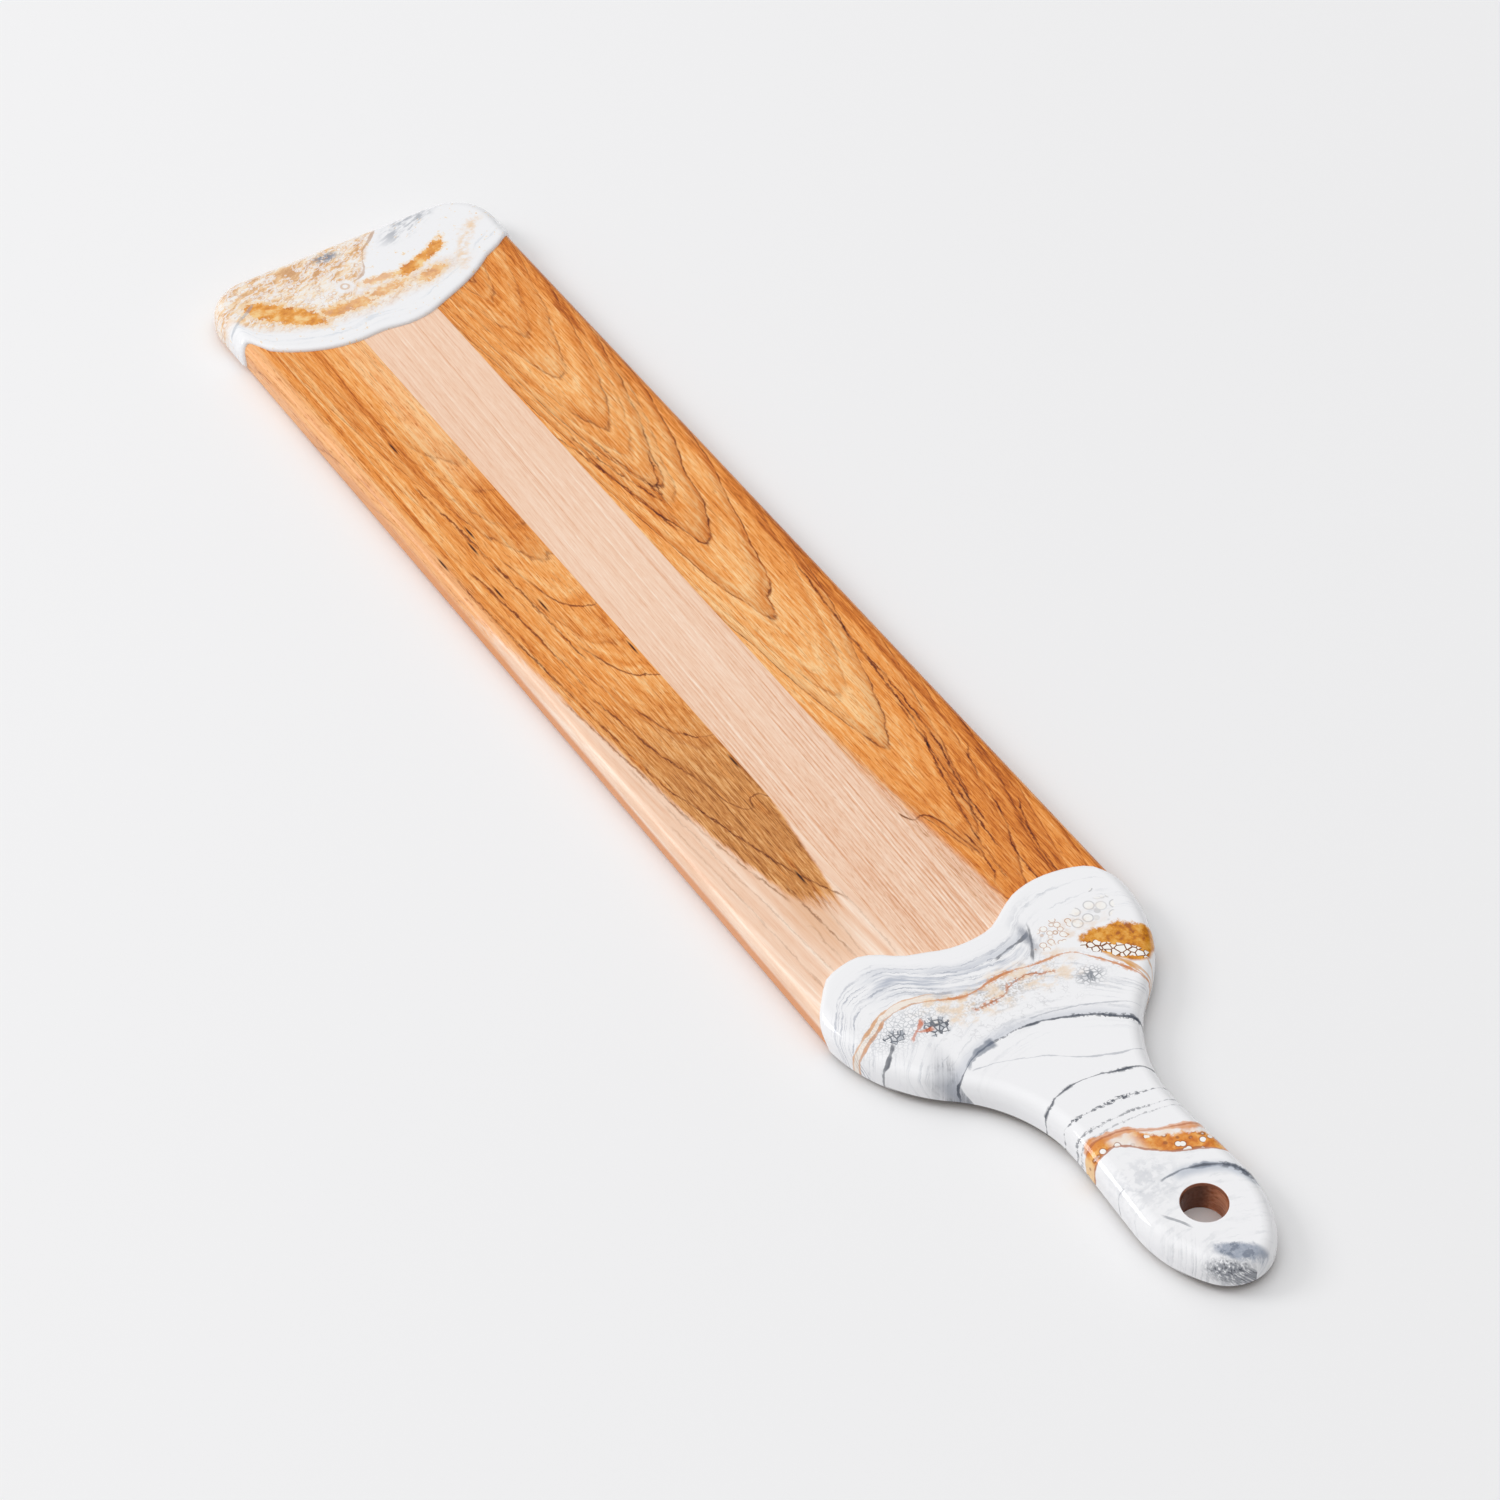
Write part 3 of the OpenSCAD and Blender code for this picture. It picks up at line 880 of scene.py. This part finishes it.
class Pour(Shader):
    """Veins, streaks and patches of a marbled pour, in plan, carried on down the sides."""

    def __init__(self, name, base):
        super().__init__(bpy.data.materials.new(name))
        fall = (THICKNESS - 1.0 - self.z).at_least(0)
        self.v = self.y + self.y.sign() * fall * 0.9
        drift = self.cloud(20, 20, 0.3) - 0.5
        self.fray = self.cloud(2.6, 2.6, 0.7, 3.0, 0.65) - 0.5
        self.wobble = drift * 4 + self.fray
        self.ragged = drift * 5 + self.fray * 5
        self.swell = self.cloud(15, 15, 0.6, 3.0, 0.6).ramp(0.36, 0.68)
        self.grain = self.cloud(1.2, 1.2, 0.2, 2.0, 0.6)
        self.patchy = self.cloud(8, 8, 0.8, 3.0, 0.6).ramp(0.38, 0.62)
        self.colour = base

    def cloud(self, along, across, seed, detail=2.0, roughness=0.5):
        """Noise in plan, with features of that size along and across the board."""
        return self.noise(self.x / along, self.v / across, seed, detail, roughness)

    def gap(self, points):
        """Signed distance from a line given as pairs of distance across and place along."""
        return self.line_gap(self.x + self.wobble, self.v, points)

    def vein(self, points, width, strength, colour, broken=0.0):
        """A line whose width swells and shrinks; a broken one is parted into dashes."""
        reach = abs(self.gap(points)) / (self.swell * (1.2 * width) + 0.35 * width)
        ends = self.v.between(points[0][0], points[-1][0], 1.0)
        mask = reach.ramp(1.2, 0.6) * ends * (self.swell * 0.4 + 0.6)
        if broken:
            mask = mask * self.cloud(1.7, 1.7, broken).ramp(0.47, 0.53)
        self.blend(mask * strength, colour)

    def streaks(self, flow, fineness, stretch, low, high, mask, colour, seed):
        """Fine lines that follow a flow, where the mask lets them show."""
        lines = self.noise((flow + self.fray * 1.6) / fineness, self.v / stretch, seed, 4.0, 0.6)
        self.blend(lines.ramp(low, high) * mask * (self.patchy * 0.8 + 0.2), colour)

    def patch(self, x, v, across_x, across_v, blur, tilt=0.0):
        """A ragged oval, 1 inside and 0 outside."""
        along = (self.x - x + (self.v - v) * tilt + self.ragged) / across_x
        reach = (along ** 2.0 + ((self.v - v + self.ragged * 0.6) / across_v) ** 2.0) ** 0.5
        return reach.ramp(1 + blur, 1 - blur)

    def foam(self, size, seed):
        return self.cells(self.point(self.x / size, self.v / size, seed))

    def finish(self):
        ripple = self.cloud(40, 40, 0.2, 1.0)
        return self.surface(self.colour, 0.02, 0.5, ripple, 0.03)


class HandlePour(Pour):
    """The pour over the handle, with the noises and flows that several of its marks share."""

    def __init__(self):
        super().__init__("handle resin", WHITE)
        self.mottle = self.cloud(5, 5, 0.9, 4.0, 0.65)
        self.warm = self.cloud(5, 8, 0.4, 4.0, 0.6).ramp(0.44, 0.62)
        self.froth = self.foam(1.8, 0.3)[0]
        self.bowl = self.x - 0.010 * (self.v + 10) ** 2.0 + self.wobble
        self.slant = self.x * 0.54 + self.y * 0.84


# Colours of the pours
WHITE = (243, 243, 245)
MILK = (248, 246, 242)
DARK = (72, 78, 90)
RUST = (200, 120, 66)
ORANGE = (206, 100, 34)
AMBER_SCALE = [(0.38, (168, 90, 2)), (0.5, (216, 138, 8)), (0.62, (234, 172, 76))]
BAND_SCALE = [(0.36, (196, 104, 24)), (0.5, (226, 140, 46)), (0.64, (240, 178, 96))]
GOLD_SCALE = [(0.36, (204, 118, 8)), (0.5, (234, 156, 50)), (0.64, (246, 206, 140))]
VEIL_SCALE = [(0.34, (246, 240, 232)), (0.45, (245, 222, 192)), (0.55, (238, 194, 142)),
              (0.67, (212, 160, 106))]

# Lines in the pours, as pairs of distance across the board and place along it
TAN_LINE = [(-88, 203.5), (-76, 202.5), (-72, 201.5), (-67, 199), (-59, 195), (-53, 192), (-45, 190.5),
            (-37, 192), (-30, 194.5), (-24, 197.5), (-17, 199), (-9, 198.6), (-1, 197.6), (7, 198), (15, 200),
            (27, 202), (33, 204), (38, 209), (43, 215), (48, 223), (54, 235), (60, 244)]
TAN_LOOP = [(-20, 207.5), (-13, 208), (-5, 207), (1, 204), (9, 203), (15, 206), (21, 208.5)]
AMBER_LOW = [(39, 202), (43, 198), (48, 197), (54, 198), (60, 200), (66, 205), (72, 209), (90, 212)]
AMBER_HIGH = [(39, 201), (42, 206), (45, 212), (49, 217), (53, 221), (58, 223), (64, 220), (72, 217),
              (90, 214)]
AMBER_TRAILS = [([(45, 213), (49, 219), (52, 225), (55, 233), (58, 240)], 0.9),
                ([(55, 240), (57, 230), (59, 222)], 0.8), ([(48, 216), (52, 230), (55, 240)], 0.5)]
DRIP_EDGE = [(-90, 262), (-66, 256), (-53, 245), (-45, 235), (-38, 229)]
GREAT_VEIN = [(-66, 237.5), (-54, 237.5), (-48, 236.5), (-44, 234.5), (-40, 232), (-35, 229), (-29, 227),
              (-23, 226), (-8, 226.6), (-1, 228), (5, 230), (13, 233), (21, 237), (29, 243), (34, 247),
              (37, 252), (44, 262)]
THIN_VEIN = [(-45, 273), (-33, 271.5), (-28, 269.5), (-23, 267), (-15, 263.6), (-1, 264), (9, 266), (19, 269),
             (25, 274), (32, 279)]
BOWED_VEIN = [(-40, 4), (-30, 3), (-23, 0.5), (-1, 0), (11, 2), (28, 8)]
BAND_LOW = [(-45, 297.5), (-33, 296.5), (-25, 294), (-17, 292), (-9, 293), (3, 299), (15, 304), (23, 307),
            (34, 311)]
BAND_HIGH = [(-45, 304.5), (-33, 303.5), (-23, 300.5), (-15, 299), (-9, 302), (-3, 307), (5, 313), (17, 319),
             (25, 324), (34, 328)]
ARCH = [(-8, 323.5), (1, 323), (9, 325), (17, 329), (21, 333), (25, 339), (32, 346)]
END_WISP = [(42, -326), (48, -334), (55, -345), (65, -355), (71, -358)]
END_LOBE = [(-8, -344), (-3, -346), (1, -350), (4, -357), (8, -363), (13, -367), (20, -374)]
GREY_STREAK = [(-78, -342), (-75, -344), (-71, -347), (-61, -353), (-58, -355)]
# Gold strokes of the far end, each with its width and strength: two bold ones and some that break up
GOLD_STROKES = [
    ([(-64, -352), (-58, -349), (-50, -342), (-42, -335), (-33, -328)], 6.0, 0.95),
    ([(12, -337), (19, -338.5), (27, -341), (37, -345), (44, -349)], 3.4, 0.95),
    ([(20, -329), (28, -330), (36, -331)], 3.6, 0.7),
    ([(-33, -331), (-20, -330), (-6, -329)], 4.0, 0.7),
    ([(-6, -332), (3, -331), (14, -331)], 3.4, 0.6),
    ([(-6, -340), (4, -340), (13, -339)], 2.6, 0.6),
]


def stretch_of(points, low=-math.inf, high=math.inf):
    """The points of a line that lie between two distances across the board."""
    return [p for p in points if low < p[0] < high]


def edge_smears(pour):
    """Grey smears and streaks that follow the edge of the pour."""
    edge = pour.x - pour.curve(pour.v, HANDLE_EDGE) + pour.wobble
    smear = pour.noise(edge / 4, pour.v / 30, 0.4, 3.0, 0.6).ramp(0.40, 0.60)
    smear = smear * edge.between(13, 26, 5) * pour.v.between(-50, 20, 8)
    pour.blend(smear * 0.9, (180, 186, 199))
    near = edge.between(10, 30, 4) * pour.v.ramp(40, 5) * 0.75
    pour.streaks(edge, 1.3, 45, 0.50, 0.60, near, (154, 160, 174), 0.1)
    far = edge.between(6, 30, 4) * pour.v.ramp(10, 30) * 0.5
    pour.streaks(edge, 3.0, 60, 0.54, 0.62, far, (178, 183, 192), 0.6)
    arcs = pour.bowl.between(188, 232, 10) * 0.5
    pour.streaks(pour.bowl, 2.2, 40, 0.52, 0.64, arcs, (182, 186, 194), 0.5)


def foam_band(pour):
    """Foam between the tan lines and the dark vein."""
    light = pour.patch(213, 2, 13, 40, 0.5) * pour.mottle.ramp(0.46, 0.62)
    pour.blend(pour.froth.ramp(0.16, 0.02) * light * 0.3, (150, 150, 154))
    dense = pour.patch(205, -5, 5, 24, 0.6) * pour.grain.ramp(0.42, 0.62)
    pour.blend(dense * 0.6, (176, 166, 158))


def tan_lines(pour):
    """A long tan line with a twin on the near side and a short loop in the middle."""
    gap = pour.gap(TAN_LINE)
    pour.blend(gap.between(-3, 15, 3) * pour.v.between(-40, 30, 8) * pour.warm * 0.75, (238, 212, 182))
    pour.blend(gap.between(-3.4, 0, 0.6) * pour.v.ramp(-24, -34) * 0.4, (247, 222, 190))
    pour.vein(stretch_of(TAN_LINE, low=-31), 0.55, 0.95, RUST)
    pour.vein(stretch_of(TAN_LINE, low=-31), 1.3, 0.6, (216, 150, 96), 0.8)
    pour.vein(stretch_of(TAN_LINE, high=-23), 0.65, 0.9, (212, 146, 92))
    twin = [(place, along - 3.4) for place, along in stretch_of(TAN_LINE, high=-28)]
    pour.vein(twin, 0.6, 0.9, (220, 160, 106))
    pour.vein(TAN_LOOP, 1.7, 0.9, (206, 128, 76), 0.9)
    pour.vein(TAN_LOOP, 0.5, 0.85, (170, 98, 56))


def amber_bubbles(pour):
    """White bubbles near the amber patch, and smaller ones with tan rims."""
    for size, place, reach, rim, seed in [(5.2, (189, 53), (8, 12), (190, 190, 194), 0.1),
                                          (3.3, (191, 32), (6, 10), (188, 136, 96), 0.6)]:
        _, middle, own = pour.foam(size, seed)
        inside = (pour.patch(*place, *reach, 0.5, 0.2) + own * 0.7 - 0.35).ramp(0.45, 0.55)
        pour.blend(inside * middle.ramp(0.52, 0.44) * 0.8, MILK)
        pour.blend(inside * abs(middle - 0.46).ramp(0.09, 0.02) * (0.3 + own * 0.6), rim)
    pour.blend(pour.patch(194, 40, 7, 16, 0.8, 0.2) * pour.warm * 0.45, (230, 200, 170))


def amber_patch(pour):
    """The amber patch with its trails, and a slanting cluster of white cells in it."""
    amber = pour.colours(pour.mottle, AMBER_SCALE)
    body = (pour.gap(AMBER_LOW) + pour.ragged * 1.2).ramp(-1.2, 1.2)
    body = body * pour.gap(AMBER_HIGH).ramp(1.0, -1.0) * pour.v.ramp(38, 41)
    pour.blend(body, amber)
    for points, width in AMBER_TRAILS:
        pour.vein(points, width, 0.85, (214, 152, 70))
    wall, _, own = pour.foam(3.2, 0.5)
    cluster = (pour.patch(212, 50, 4.0, 9.5, 0.6, -0.85) + own * 0.8 - 0.4).ramp(0.47, 0.53)
    pour.blend(cluster * wall.ramp(0.05, 0.10), MILK)
    pour.blend(cluster * wall.ramp(0.09, 0.05), (120, 66, 16))


def dark_cells(pour):
    """Dark cells with a small orange mark, and a dark wedge by the edge."""
    wall, _, own = pour.foam(2.4, 0.7)
    for place, size in [((207, -38), (4.5, 5)), ((202, -56), (3.2, 4.5))]:
        knot = (pour.patch(*place, *size, 0.6) + own * 0.6 - 0.3).ramp(0.45, 0.55)
        pour.blend(knot * own.ramp(0.35, 0.8) * 0.6, (140, 148, 160))
        pour.blend(knot * wall.ramp(0.16, 0.05) * 0.9, DARK)
    pour.blend(pour.patch(200, -50, 8, 18, 0.7) * pour.froth.ramp(0.14, 0.02) * 0.5, (130, 138, 148))
    pour.vein([(-51, 207), (-46, 204), (-41.5, 201)], 1.4, 0.95, ORANGE)
    pour.vein([(-47, 204), (-44.5, 206), (-40, 207)], 1.1, 0.95, ORANGE)
    pour.vein([(4, 189.5), (12, 187), (20, 186), (24, 184)], 0.8, 0.9, DARK)
    pour.blend(pour.patch(187, 22, 6, 2.0, 0.9, 0.9) * 0.8, (122, 128, 142))
    pour.vein([(17, 197), (20, 193), (23, 188), (26, 182)], 0.7, 0.8, DARK)
    pour.blend(pour.patch(219, 33, 4, 5, 0.8) * pour.froth.ramp(0.25, 0.02) * 0.85, (110, 116, 126))


def shoulder_drips(pour):
    """Drips over the near side of the shoulder."""
    wedge = pour.curve(pour.v, DRIP_EDGE) - pour.x
    drips = wedge.ramp(-0.5, 1.0) * wedge.ramp(28, 6) * pour.v.ramp(-40, -54)
    pour.blend(drips * 0.8, (146, 150, 160))
    pour.streaks(pour.slant, 0.8, 40, 0.40, 0.54, drips, (88, 92, 102), 0.2)
    pale = pour.patch(212, -70, 14, 12, 0.7) * 0.35
    pour.streaks(pour.slant, 1.1, 40, 0.50, 0.64, pale, (170, 174, 182), 0.4)
    pour.vein([(-88, 214), (-74, 213.5), (-69, 212.5), (-65, 210), (-59, 205)], 0.9, 0.95, DARK)


def neck_veins(pour):
    """Dark veins across the neck, the first with a grey shade beside it."""
    gap = pour.gap(GREAT_VEIN)
    shade = gap.ramp(-7, 0) * gap.ramp(0.6, 0) * pour.v.between(-56, 36, 4)
    pour.blend(shade * 0.45, (176, 182, 196))
    pour.vein(stretch_of(GREAT_VEIN, low=-9), 0.6, 0.95, DARK)
    pour.vein(stretch_of(GREAT_VEIN, low=8), 1.3, 0.8, DARK, 0.7)
    pour.vein(stretch_of(GREAT_VEIN, high=-20), 0.5, 0.95, DARK)
    pour.vein(stretch_of(GREAT_VEIN, -44, -20), 2.2, 0.8, (104, 114, 132))
    pour.vein(stretch_of(GREAT_VEIN, -24, 2), 0.5, 0.7, DARK, 0.4)
    for points in [[(-3, 224), (11, 227), (27, 233), (39, 240), (44, 246)],
                   [(-39, 235), (-27, 237), (-11, 243), (3, 253), (17, 259), (28, 263)]]:
        pour.vein(points, 0.45, 0.6, (150, 155, 166))
    pour.vein(THIN_VEIN, 0.45, 0.95, DARK)
    pour.vein(THIN_VEIN, 0.9, 0.6, DARK, 0.3)
    for place, strength in [(278.5, 0.95), (286.5, 0.7), (290, 0.5)]:
        points = [(across, place + rise) for across, rise in BOWED_VEIN]
        pour.vein(points, 0.9, strength, DARK, place)
        pour.vein(points, 0.25, strength * 0.5, DARK)


def second_band(pour):
    """The second amber band, two lines that part towards the far side."""
    low, high = pour.gap(BAND_LOW), pour.gap(BAND_HIGH)
    inside = low.ramp(-0.6, 0.6) * high.ramp(0.6, -0.6)
    heavy = (high + 8.5 + pour.ragged).ramp(-1, 1) * pour.v.ramp(-8, 0)
    orange = pour.colours(pour.mottle, BAND_SCALE)
    pour.blend(inside * (0.10 + pour.warm * 0.3), (240, 206, 164))
    pour.blend(inside * heavy, orange)
    pour.blend(inside * pour.v.ramp(-11, -17), orange)
    pour.blend(inside * pour.v.ramp(-23, -27) * 0.8, (247, 212, 158))
    pour.vein(stretch_of(BAND_LOW, low=-26), 2.4, 0.95, (222, 138, 56))
    pour.vein(stretch_of(BAND_LOW, low=-26), 0.6, 0.8, (178, 92, 40))
    pour.vein(BAND_HIGH, 0.6, 0.9, (172, 94, 40))
    _, middle, own = pour.foam(3.4, 0.2)
    cells = inside * (heavy + pour.v.ramp(-4, -12)).at_most(1.0) * own.ramp(0.5, 0.56)
    pour.blend(cells * middle.ramp(0.44, 0.38), MILK)
    pour.blend(cells * abs(middle - 0.45).ramp(0.10, 0.03) * 0.7, (150, 80, 30))


def dark_arch(pour):
    """The dark arch beyond the band, and smoke round the hole."""
    pour.blend(abs(pour.gap(ARCH) - 1.5).ramp(5, 0) * pour.v.between(-2, 28, 4) * 0.7, (176, 184, 198))
    pour.vein(ARCH, 1.4, 0.8, (118, 128, 146))
    pour.vein(ARCH, 0.6, 0.9, DARK)
    pour.vein(stretch_of(ARCH, low=12), 2.6, 0.8, DARK, 0.6)
    pour.streaks(pour.bowl, 3.0, 14, 0.52, 0.64, pour.x.ramp(306, 322) * 0.25, (176, 181, 188), 0.8)
    wisp = pour.patch(320, -14, 12, 14, 0.8) * pour.mottle.ramp(0.44, 0.60)
    pour.blend(wisp * 0.4, (186, 190, 198))


def tip_pool(pour):
    """A blue-grey pool at the tip, mottled towards the near side."""
    low_tip = pour.patch(368, -26, 16, 10, 0.8, 0.4)
    pour.streaks(pour.slant, 0.9, 40, 0.44, 0.62, low_tip * 0.45, (150, 154, 162), 0.3)
    speckle = pour.patch(376, -9.5, 5.5, 9.5, 0.5, -0.6)
    pour.blend(speckle * pour.grain.ramp(0.30, 0.52) * 0.85, (118, 122, 132))
    pour.blend(speckle * pour.grain.ramp(0.56, 0.66) * 0.8, (70, 72, 80))
    pool = pour.patch(370.5, -1.5, 4.6, 9, 0.3, -0.6)
    pour.blend(pool * (0.65 + pour.grain * 0.4), (140, 150, 168))
    pour.blend(pool * pour.mottle.ramp(0.52, 0.60) * 0.6, (92, 102, 120))
    pour.vein([(-34, 322), (-28, 319), (-23, 318)], 0.4, 0.7, (130, 134, 142))
    pour.vein([(-18, 339), (-15, 343), (-12, 348)], 0.5, 0.7, (130, 134, 142))


def hole_wall_and_lip_shade(pour):
    """The drilled wall takes the colour of the wood, and a dark band along stretches of the thin lower lip is
    painted shade of the gap beneath it.
    """
    hole = ((pour.x - HOLE_X) ** 2.0 + pour.y ** 2.0) ** 0.5
    pour.blend(hole.ramp(HOLE_RADIUS + 0.30, HOLE_RADIUS + 0.12), (160, 96, 64))
    # Painted shade: a dark band on stretches of the lower lip, standing for the shadowed gap under the lip
    lip_shade_stretch = pour.x.between(216, 282, 6) + pour.x.ramp(352, 366)
    pour.blend(pour.z.ramp(COAT_STOP + 1.7, COAT_STOP + 1.2) * lip_shade_stretch * 0.9, (66, 56, 50))


def handle_resin():
    """White pour with grey streaks along its edge, amber patches and dark veins across the handle."""
    pour = HandlePour()
    for mark in (edge_smears, foam_band, tan_lines, amber_bubbles, amber_patch, dark_cells,
                 shoulder_drips, neck_veins, second_band, dark_arch, tip_pool, hole_wall_and_lip_shade):
        mark(pour)
    return pour.finish()


def end_veil(pour, inside):
    """A soft veil of tan over the end and along the border, with thin lines of lace and bubbles in it."""
    x, v = pour.x, pour.v
    flow = x + v * 0.3 + pour.wobble * 1.5
    lace = pour.noise(flow / 4, v / 10, 0.3, 4.0, 0.65)
    veil = (x + v * 1.25 + 351 + pour.ragged).ramp(3, -3) * inside.ramp(12, 22)
    veil = veil.at_least(pour.patch(-329, 4, 7, 34, 0.6, 0.05) * 0.75)
    thick = lace + pour.patch(-365, -28, 8, 14, 0.8) * 0.10 - pour.patch(-347, -28, 9, 12, 0.7) * 0.12
    pour.blend(veil * 0.95, pour.colours(thick, VEIL_SCALE))
    for seed, strength, colour in [(0.2, 0.4, (196, 140, 92)), (0.7, 0.6, WHITE), (0.9, 0.6, WHITE)]:
        ridge = abs(pour.noise(flow / 6, v / 13, seed, 3.0, 0.6) - 0.5)
        pour.blend(ridge.ramp(0.035, 0.010) * veil * strength, colour)
    _, middle, own = pour.foam(3.0, 0.4)
    bubbles = veil * own.ramp(0.6, 0.7)
    pour.blend(bubbles * middle.ramp(0.40, 0.30) * 0.5, WHITE)
    pour.blend(bubbles * abs(middle - 0.40).ramp(0.10, 0.02) * 0.4, (216, 150, 76))


def gold_strokes(pour, mottle):
    """Gold strokes whose edges break up into specks, and a wisp on the far side."""
    gold = pour.colours(mottle, GOLD_SCALE)
    speck = pour.cloud(2.4, 2.4, 0.5, 3.0, 0.65) - 0.5

    def drift(reach, speckled, strength, colour):
        """Speckled paint; reach is 1 in its middle and 0 well outside."""
        pour.blend((reach + speck * speckled).ramp(0.40, 0.58) * strength, colour)

    for points, width, strength in GOLD_STROKES:
        ends = pour.v.between(points[0][0], points[-1][0], 6.0)
        reach = (abs(pour.gap(points)) / width).ramp(1.9, 0.0) * ends
        drift(reach + 0.25, 1.2, 0.5, (246, 216, 172))
        drift(reach * (0.55 + 0.45 * strength), 3.2 - 1.9 * strength, strength, gold)
    wisp = abs(pour.gap(END_WISP) + pour.ragged).ramp(5, 0) * pour.v.between(44, 68, 6)
    pour.blend(wisp * mottle.ramp(0.40, 0.58) * 0.8, (238, 200, 154))


def end_marks(pour):
    """A brown line round the white lobe, one small ring, grey lace and a blue-grey patch at the end."""
    x, v = pour.x, pour.v
    pour.vein(END_LOBE, 0.8, 0.75, (190, 146, 106))
    ring = ((x + 343.5) ** 2.0 + (v + 13.5) ** 2.0) ** 0.5 + pour.ragged * 0.2
    pour.blend(ring.ramp(6.0, 4.0) * 0.8, WHITE)
    pour.blend(abs(ring - 2.0).ramp(0.9, 0.2) * 0.6, (212, 166, 118))
    lace = pour.noise((x + v * 0.35) / 2.4, v / 9, 0.8, 3.0, 0.6).ramp(0.40, 0.62)
    pour.blend(pour.patch(-369, 36, 6, 16, 0.5, 0.35) * lace * 0.8, (168, 172, 180))
    spots = pour.grain.ramp(0.34, 0.52)
    pour.blend(pour.patch(-367.5, -11, 2.6, 6, 0.6) * spots * 0.85, (112, 128, 150))
    pour.vein(GREY_STREAK, 0.7, 0.5, (150, 160, 172))


def end_resin():
    """White pour with a plain border, and a soft tan veil with gold strokes towards the far end."""
    pour = Pour("end resin", WHITE)
    inside = pour.curve(pour.v, END_EDGE) - pour.x + pour.wobble
    border = inside.between(6, 16, 3) * 0.5
    pour.streaks(inside, 3.0, 50, 0.50, 0.62, border, (200, 208, 218), 0.1)
    end_veil(pour, inside)
    gold_strokes(pour, pour.cloud(5, 8, 0.9, 5.0, 0.65))
    end_marks(pour)
    return pour.finish()


# The pieces
left_stave, centre_stave, right_stave = make_staves()
handle_coat = make_handle_coat()
end_coat = make_end_coat()
PIECES = [
    (left_stave, "stave_left", "left_wood", left_wood()),
    (centre_stave, "stave_centre", "centre_wood", centre_wood()),
    (right_stave, "stave_right", "right_wood", right_wood()),
    (handle_coat, "resin_handle", "handle_resin", handle_resin()),
    (end_coat, "resin_end", "end_resin", end_resin()),
]
for piece, node, slot, material in PIECES:
    soften(piece)
    piece.data.materials.clear()
    piece.data.materials.append(material)
    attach(piece, "root")
    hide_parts(node)

glue = glue_film()
for node in ("glue_left", "glue_right"):
    film = frame["nodes"][node]
    film.data.materials.clear()
    film.data.materials.append(glue)

# The floor just under the board
FLOOR_REACH = 4000.0
FLOOR_DROP = 0.05
PAPER_CLOUD = 900.0
PAPER_ROUGHNESS = 0.9
floor = make_object("floor", [(sx * FLOOR_REACH, sy * FLOOR_REACH, -FLOOR_DROP)
                              for sx, sy in ((-1, -1), (1, -1), (1, 1), (-1, 1))], [(0, 1, 2, 3)])
paper = Shader(bpy.data.materials.new("floor paper"))
shading = paper.noise(paper.x / PAPER_CLOUD, paper.y / PAPER_CLOUD)
tone = paper.mix(shading, (240, 240, 241), (242, 242, 243))
floor.data.materials.append(paper.surface(tone, PAPER_ROUGHNESS))

# Soft light, strongest from overhead and weaker from the right, and a window lamp from the left
WORLD_LEVEL = 0.34
WORLD_OVERHEAD = 1.22
WORLD_TILT = 0.22
OVERHEAD_FOCUS = 3.0
LIT_SIDE = Vector((-0.54, -0.84))
world = bpy.data.worlds.new("studio")
bpy.context.scene.world = world
sky = Shader(world, "Generated", 1.0)
overhead = sky.z.at_least(0.0) ** OVERHEAD_FOCUS * WORLD_OVERHEAD
sideways = (sky.x * LIT_SIDE.x + sky.y * LIT_SIDE.y) * WORLD_TILT
background = sky.tree.nodes["Background"]
background.inputs["Color"].default_value = (1.0, 1.0, 1.0, 1.0)
sky.feed(background.inputs["Strength"], overhead + (sideways + WORLD_LEVEL))


def add_lamp(name, direction, distance, width, height, power):
    """A flat lamp that looks at the board; its sizes are in metres and its power in watts."""
    towards = Vector(direction).normalized()
    data = bpy.data.lights.new(name, "AREA")
    data.shape = "RECTANGLE"
    data.size = width
    data.size_y = height
    data.energy = power
    lamp = bpy.data.objects.new(name, data)
    lamp.location = towards * distance
    lamp.rotation_mode = "QUATERNION"
    lamp.rotation_quaternion = towards.to_track_quat("Z", "Y")
    bpy.context.scene.collection.objects.link(lamp)


add_lamp("window", direction=(-0.60, -0.66, 0.64), distance=5.0, width=1.7, height=1.8, power=66.0)

# The camera, solved from the board's own edges in the photograph
CAMERA_TURN = math.radians(57.3885)
CAMERA_RISE = math.radians(45.9867)
CAMERA_ROLL = math.radians(-0.0955)
CAMERA_TARGET = Vector((16.757, -8.925, 0)) * MM
CAMERA_DISTANCE = 2026.266 * MM
CAMERA_LENS = 108.95
CAMERA_SENSOR = 36.0
level = Vector((math.cos(CAMERA_TURN), math.sin(CAMERA_TURN), 0))
outward = Vector((math.sin(CAMERA_TURN), -math.cos(CAMERA_TURN), 0))
back = math.cos(CAMERA_RISE) * outward + math.sin(CAMERA_RISE) * Vector((0, 0, 1))
upright = back.cross(level)
right = math.cos(CAMERA_ROLL) * level + math.sin(CAMERA_ROLL) * upright
up = math.cos(CAMERA_ROLL) * upright - math.sin(CAMERA_ROLL) * level
camera_data = bpy.data.cameras.new("camera")
camera_data.lens = CAMERA_LENS
camera_data.sensor_width = CAMERA_SENSOR
camera = bpy.data.objects.new("camera", camera_data)
camera.matrix_world = Matrix((right, up, back)).transposed().to_4x4()
camera.location = CAMERA_TARGET + back * CAMERA_DISTANCE
bpy.context.scene.collection.objects.link(camera)
bpy.context.scene.camera = camera

bpy.context.scene.view_settings.view_transform = "Standard"
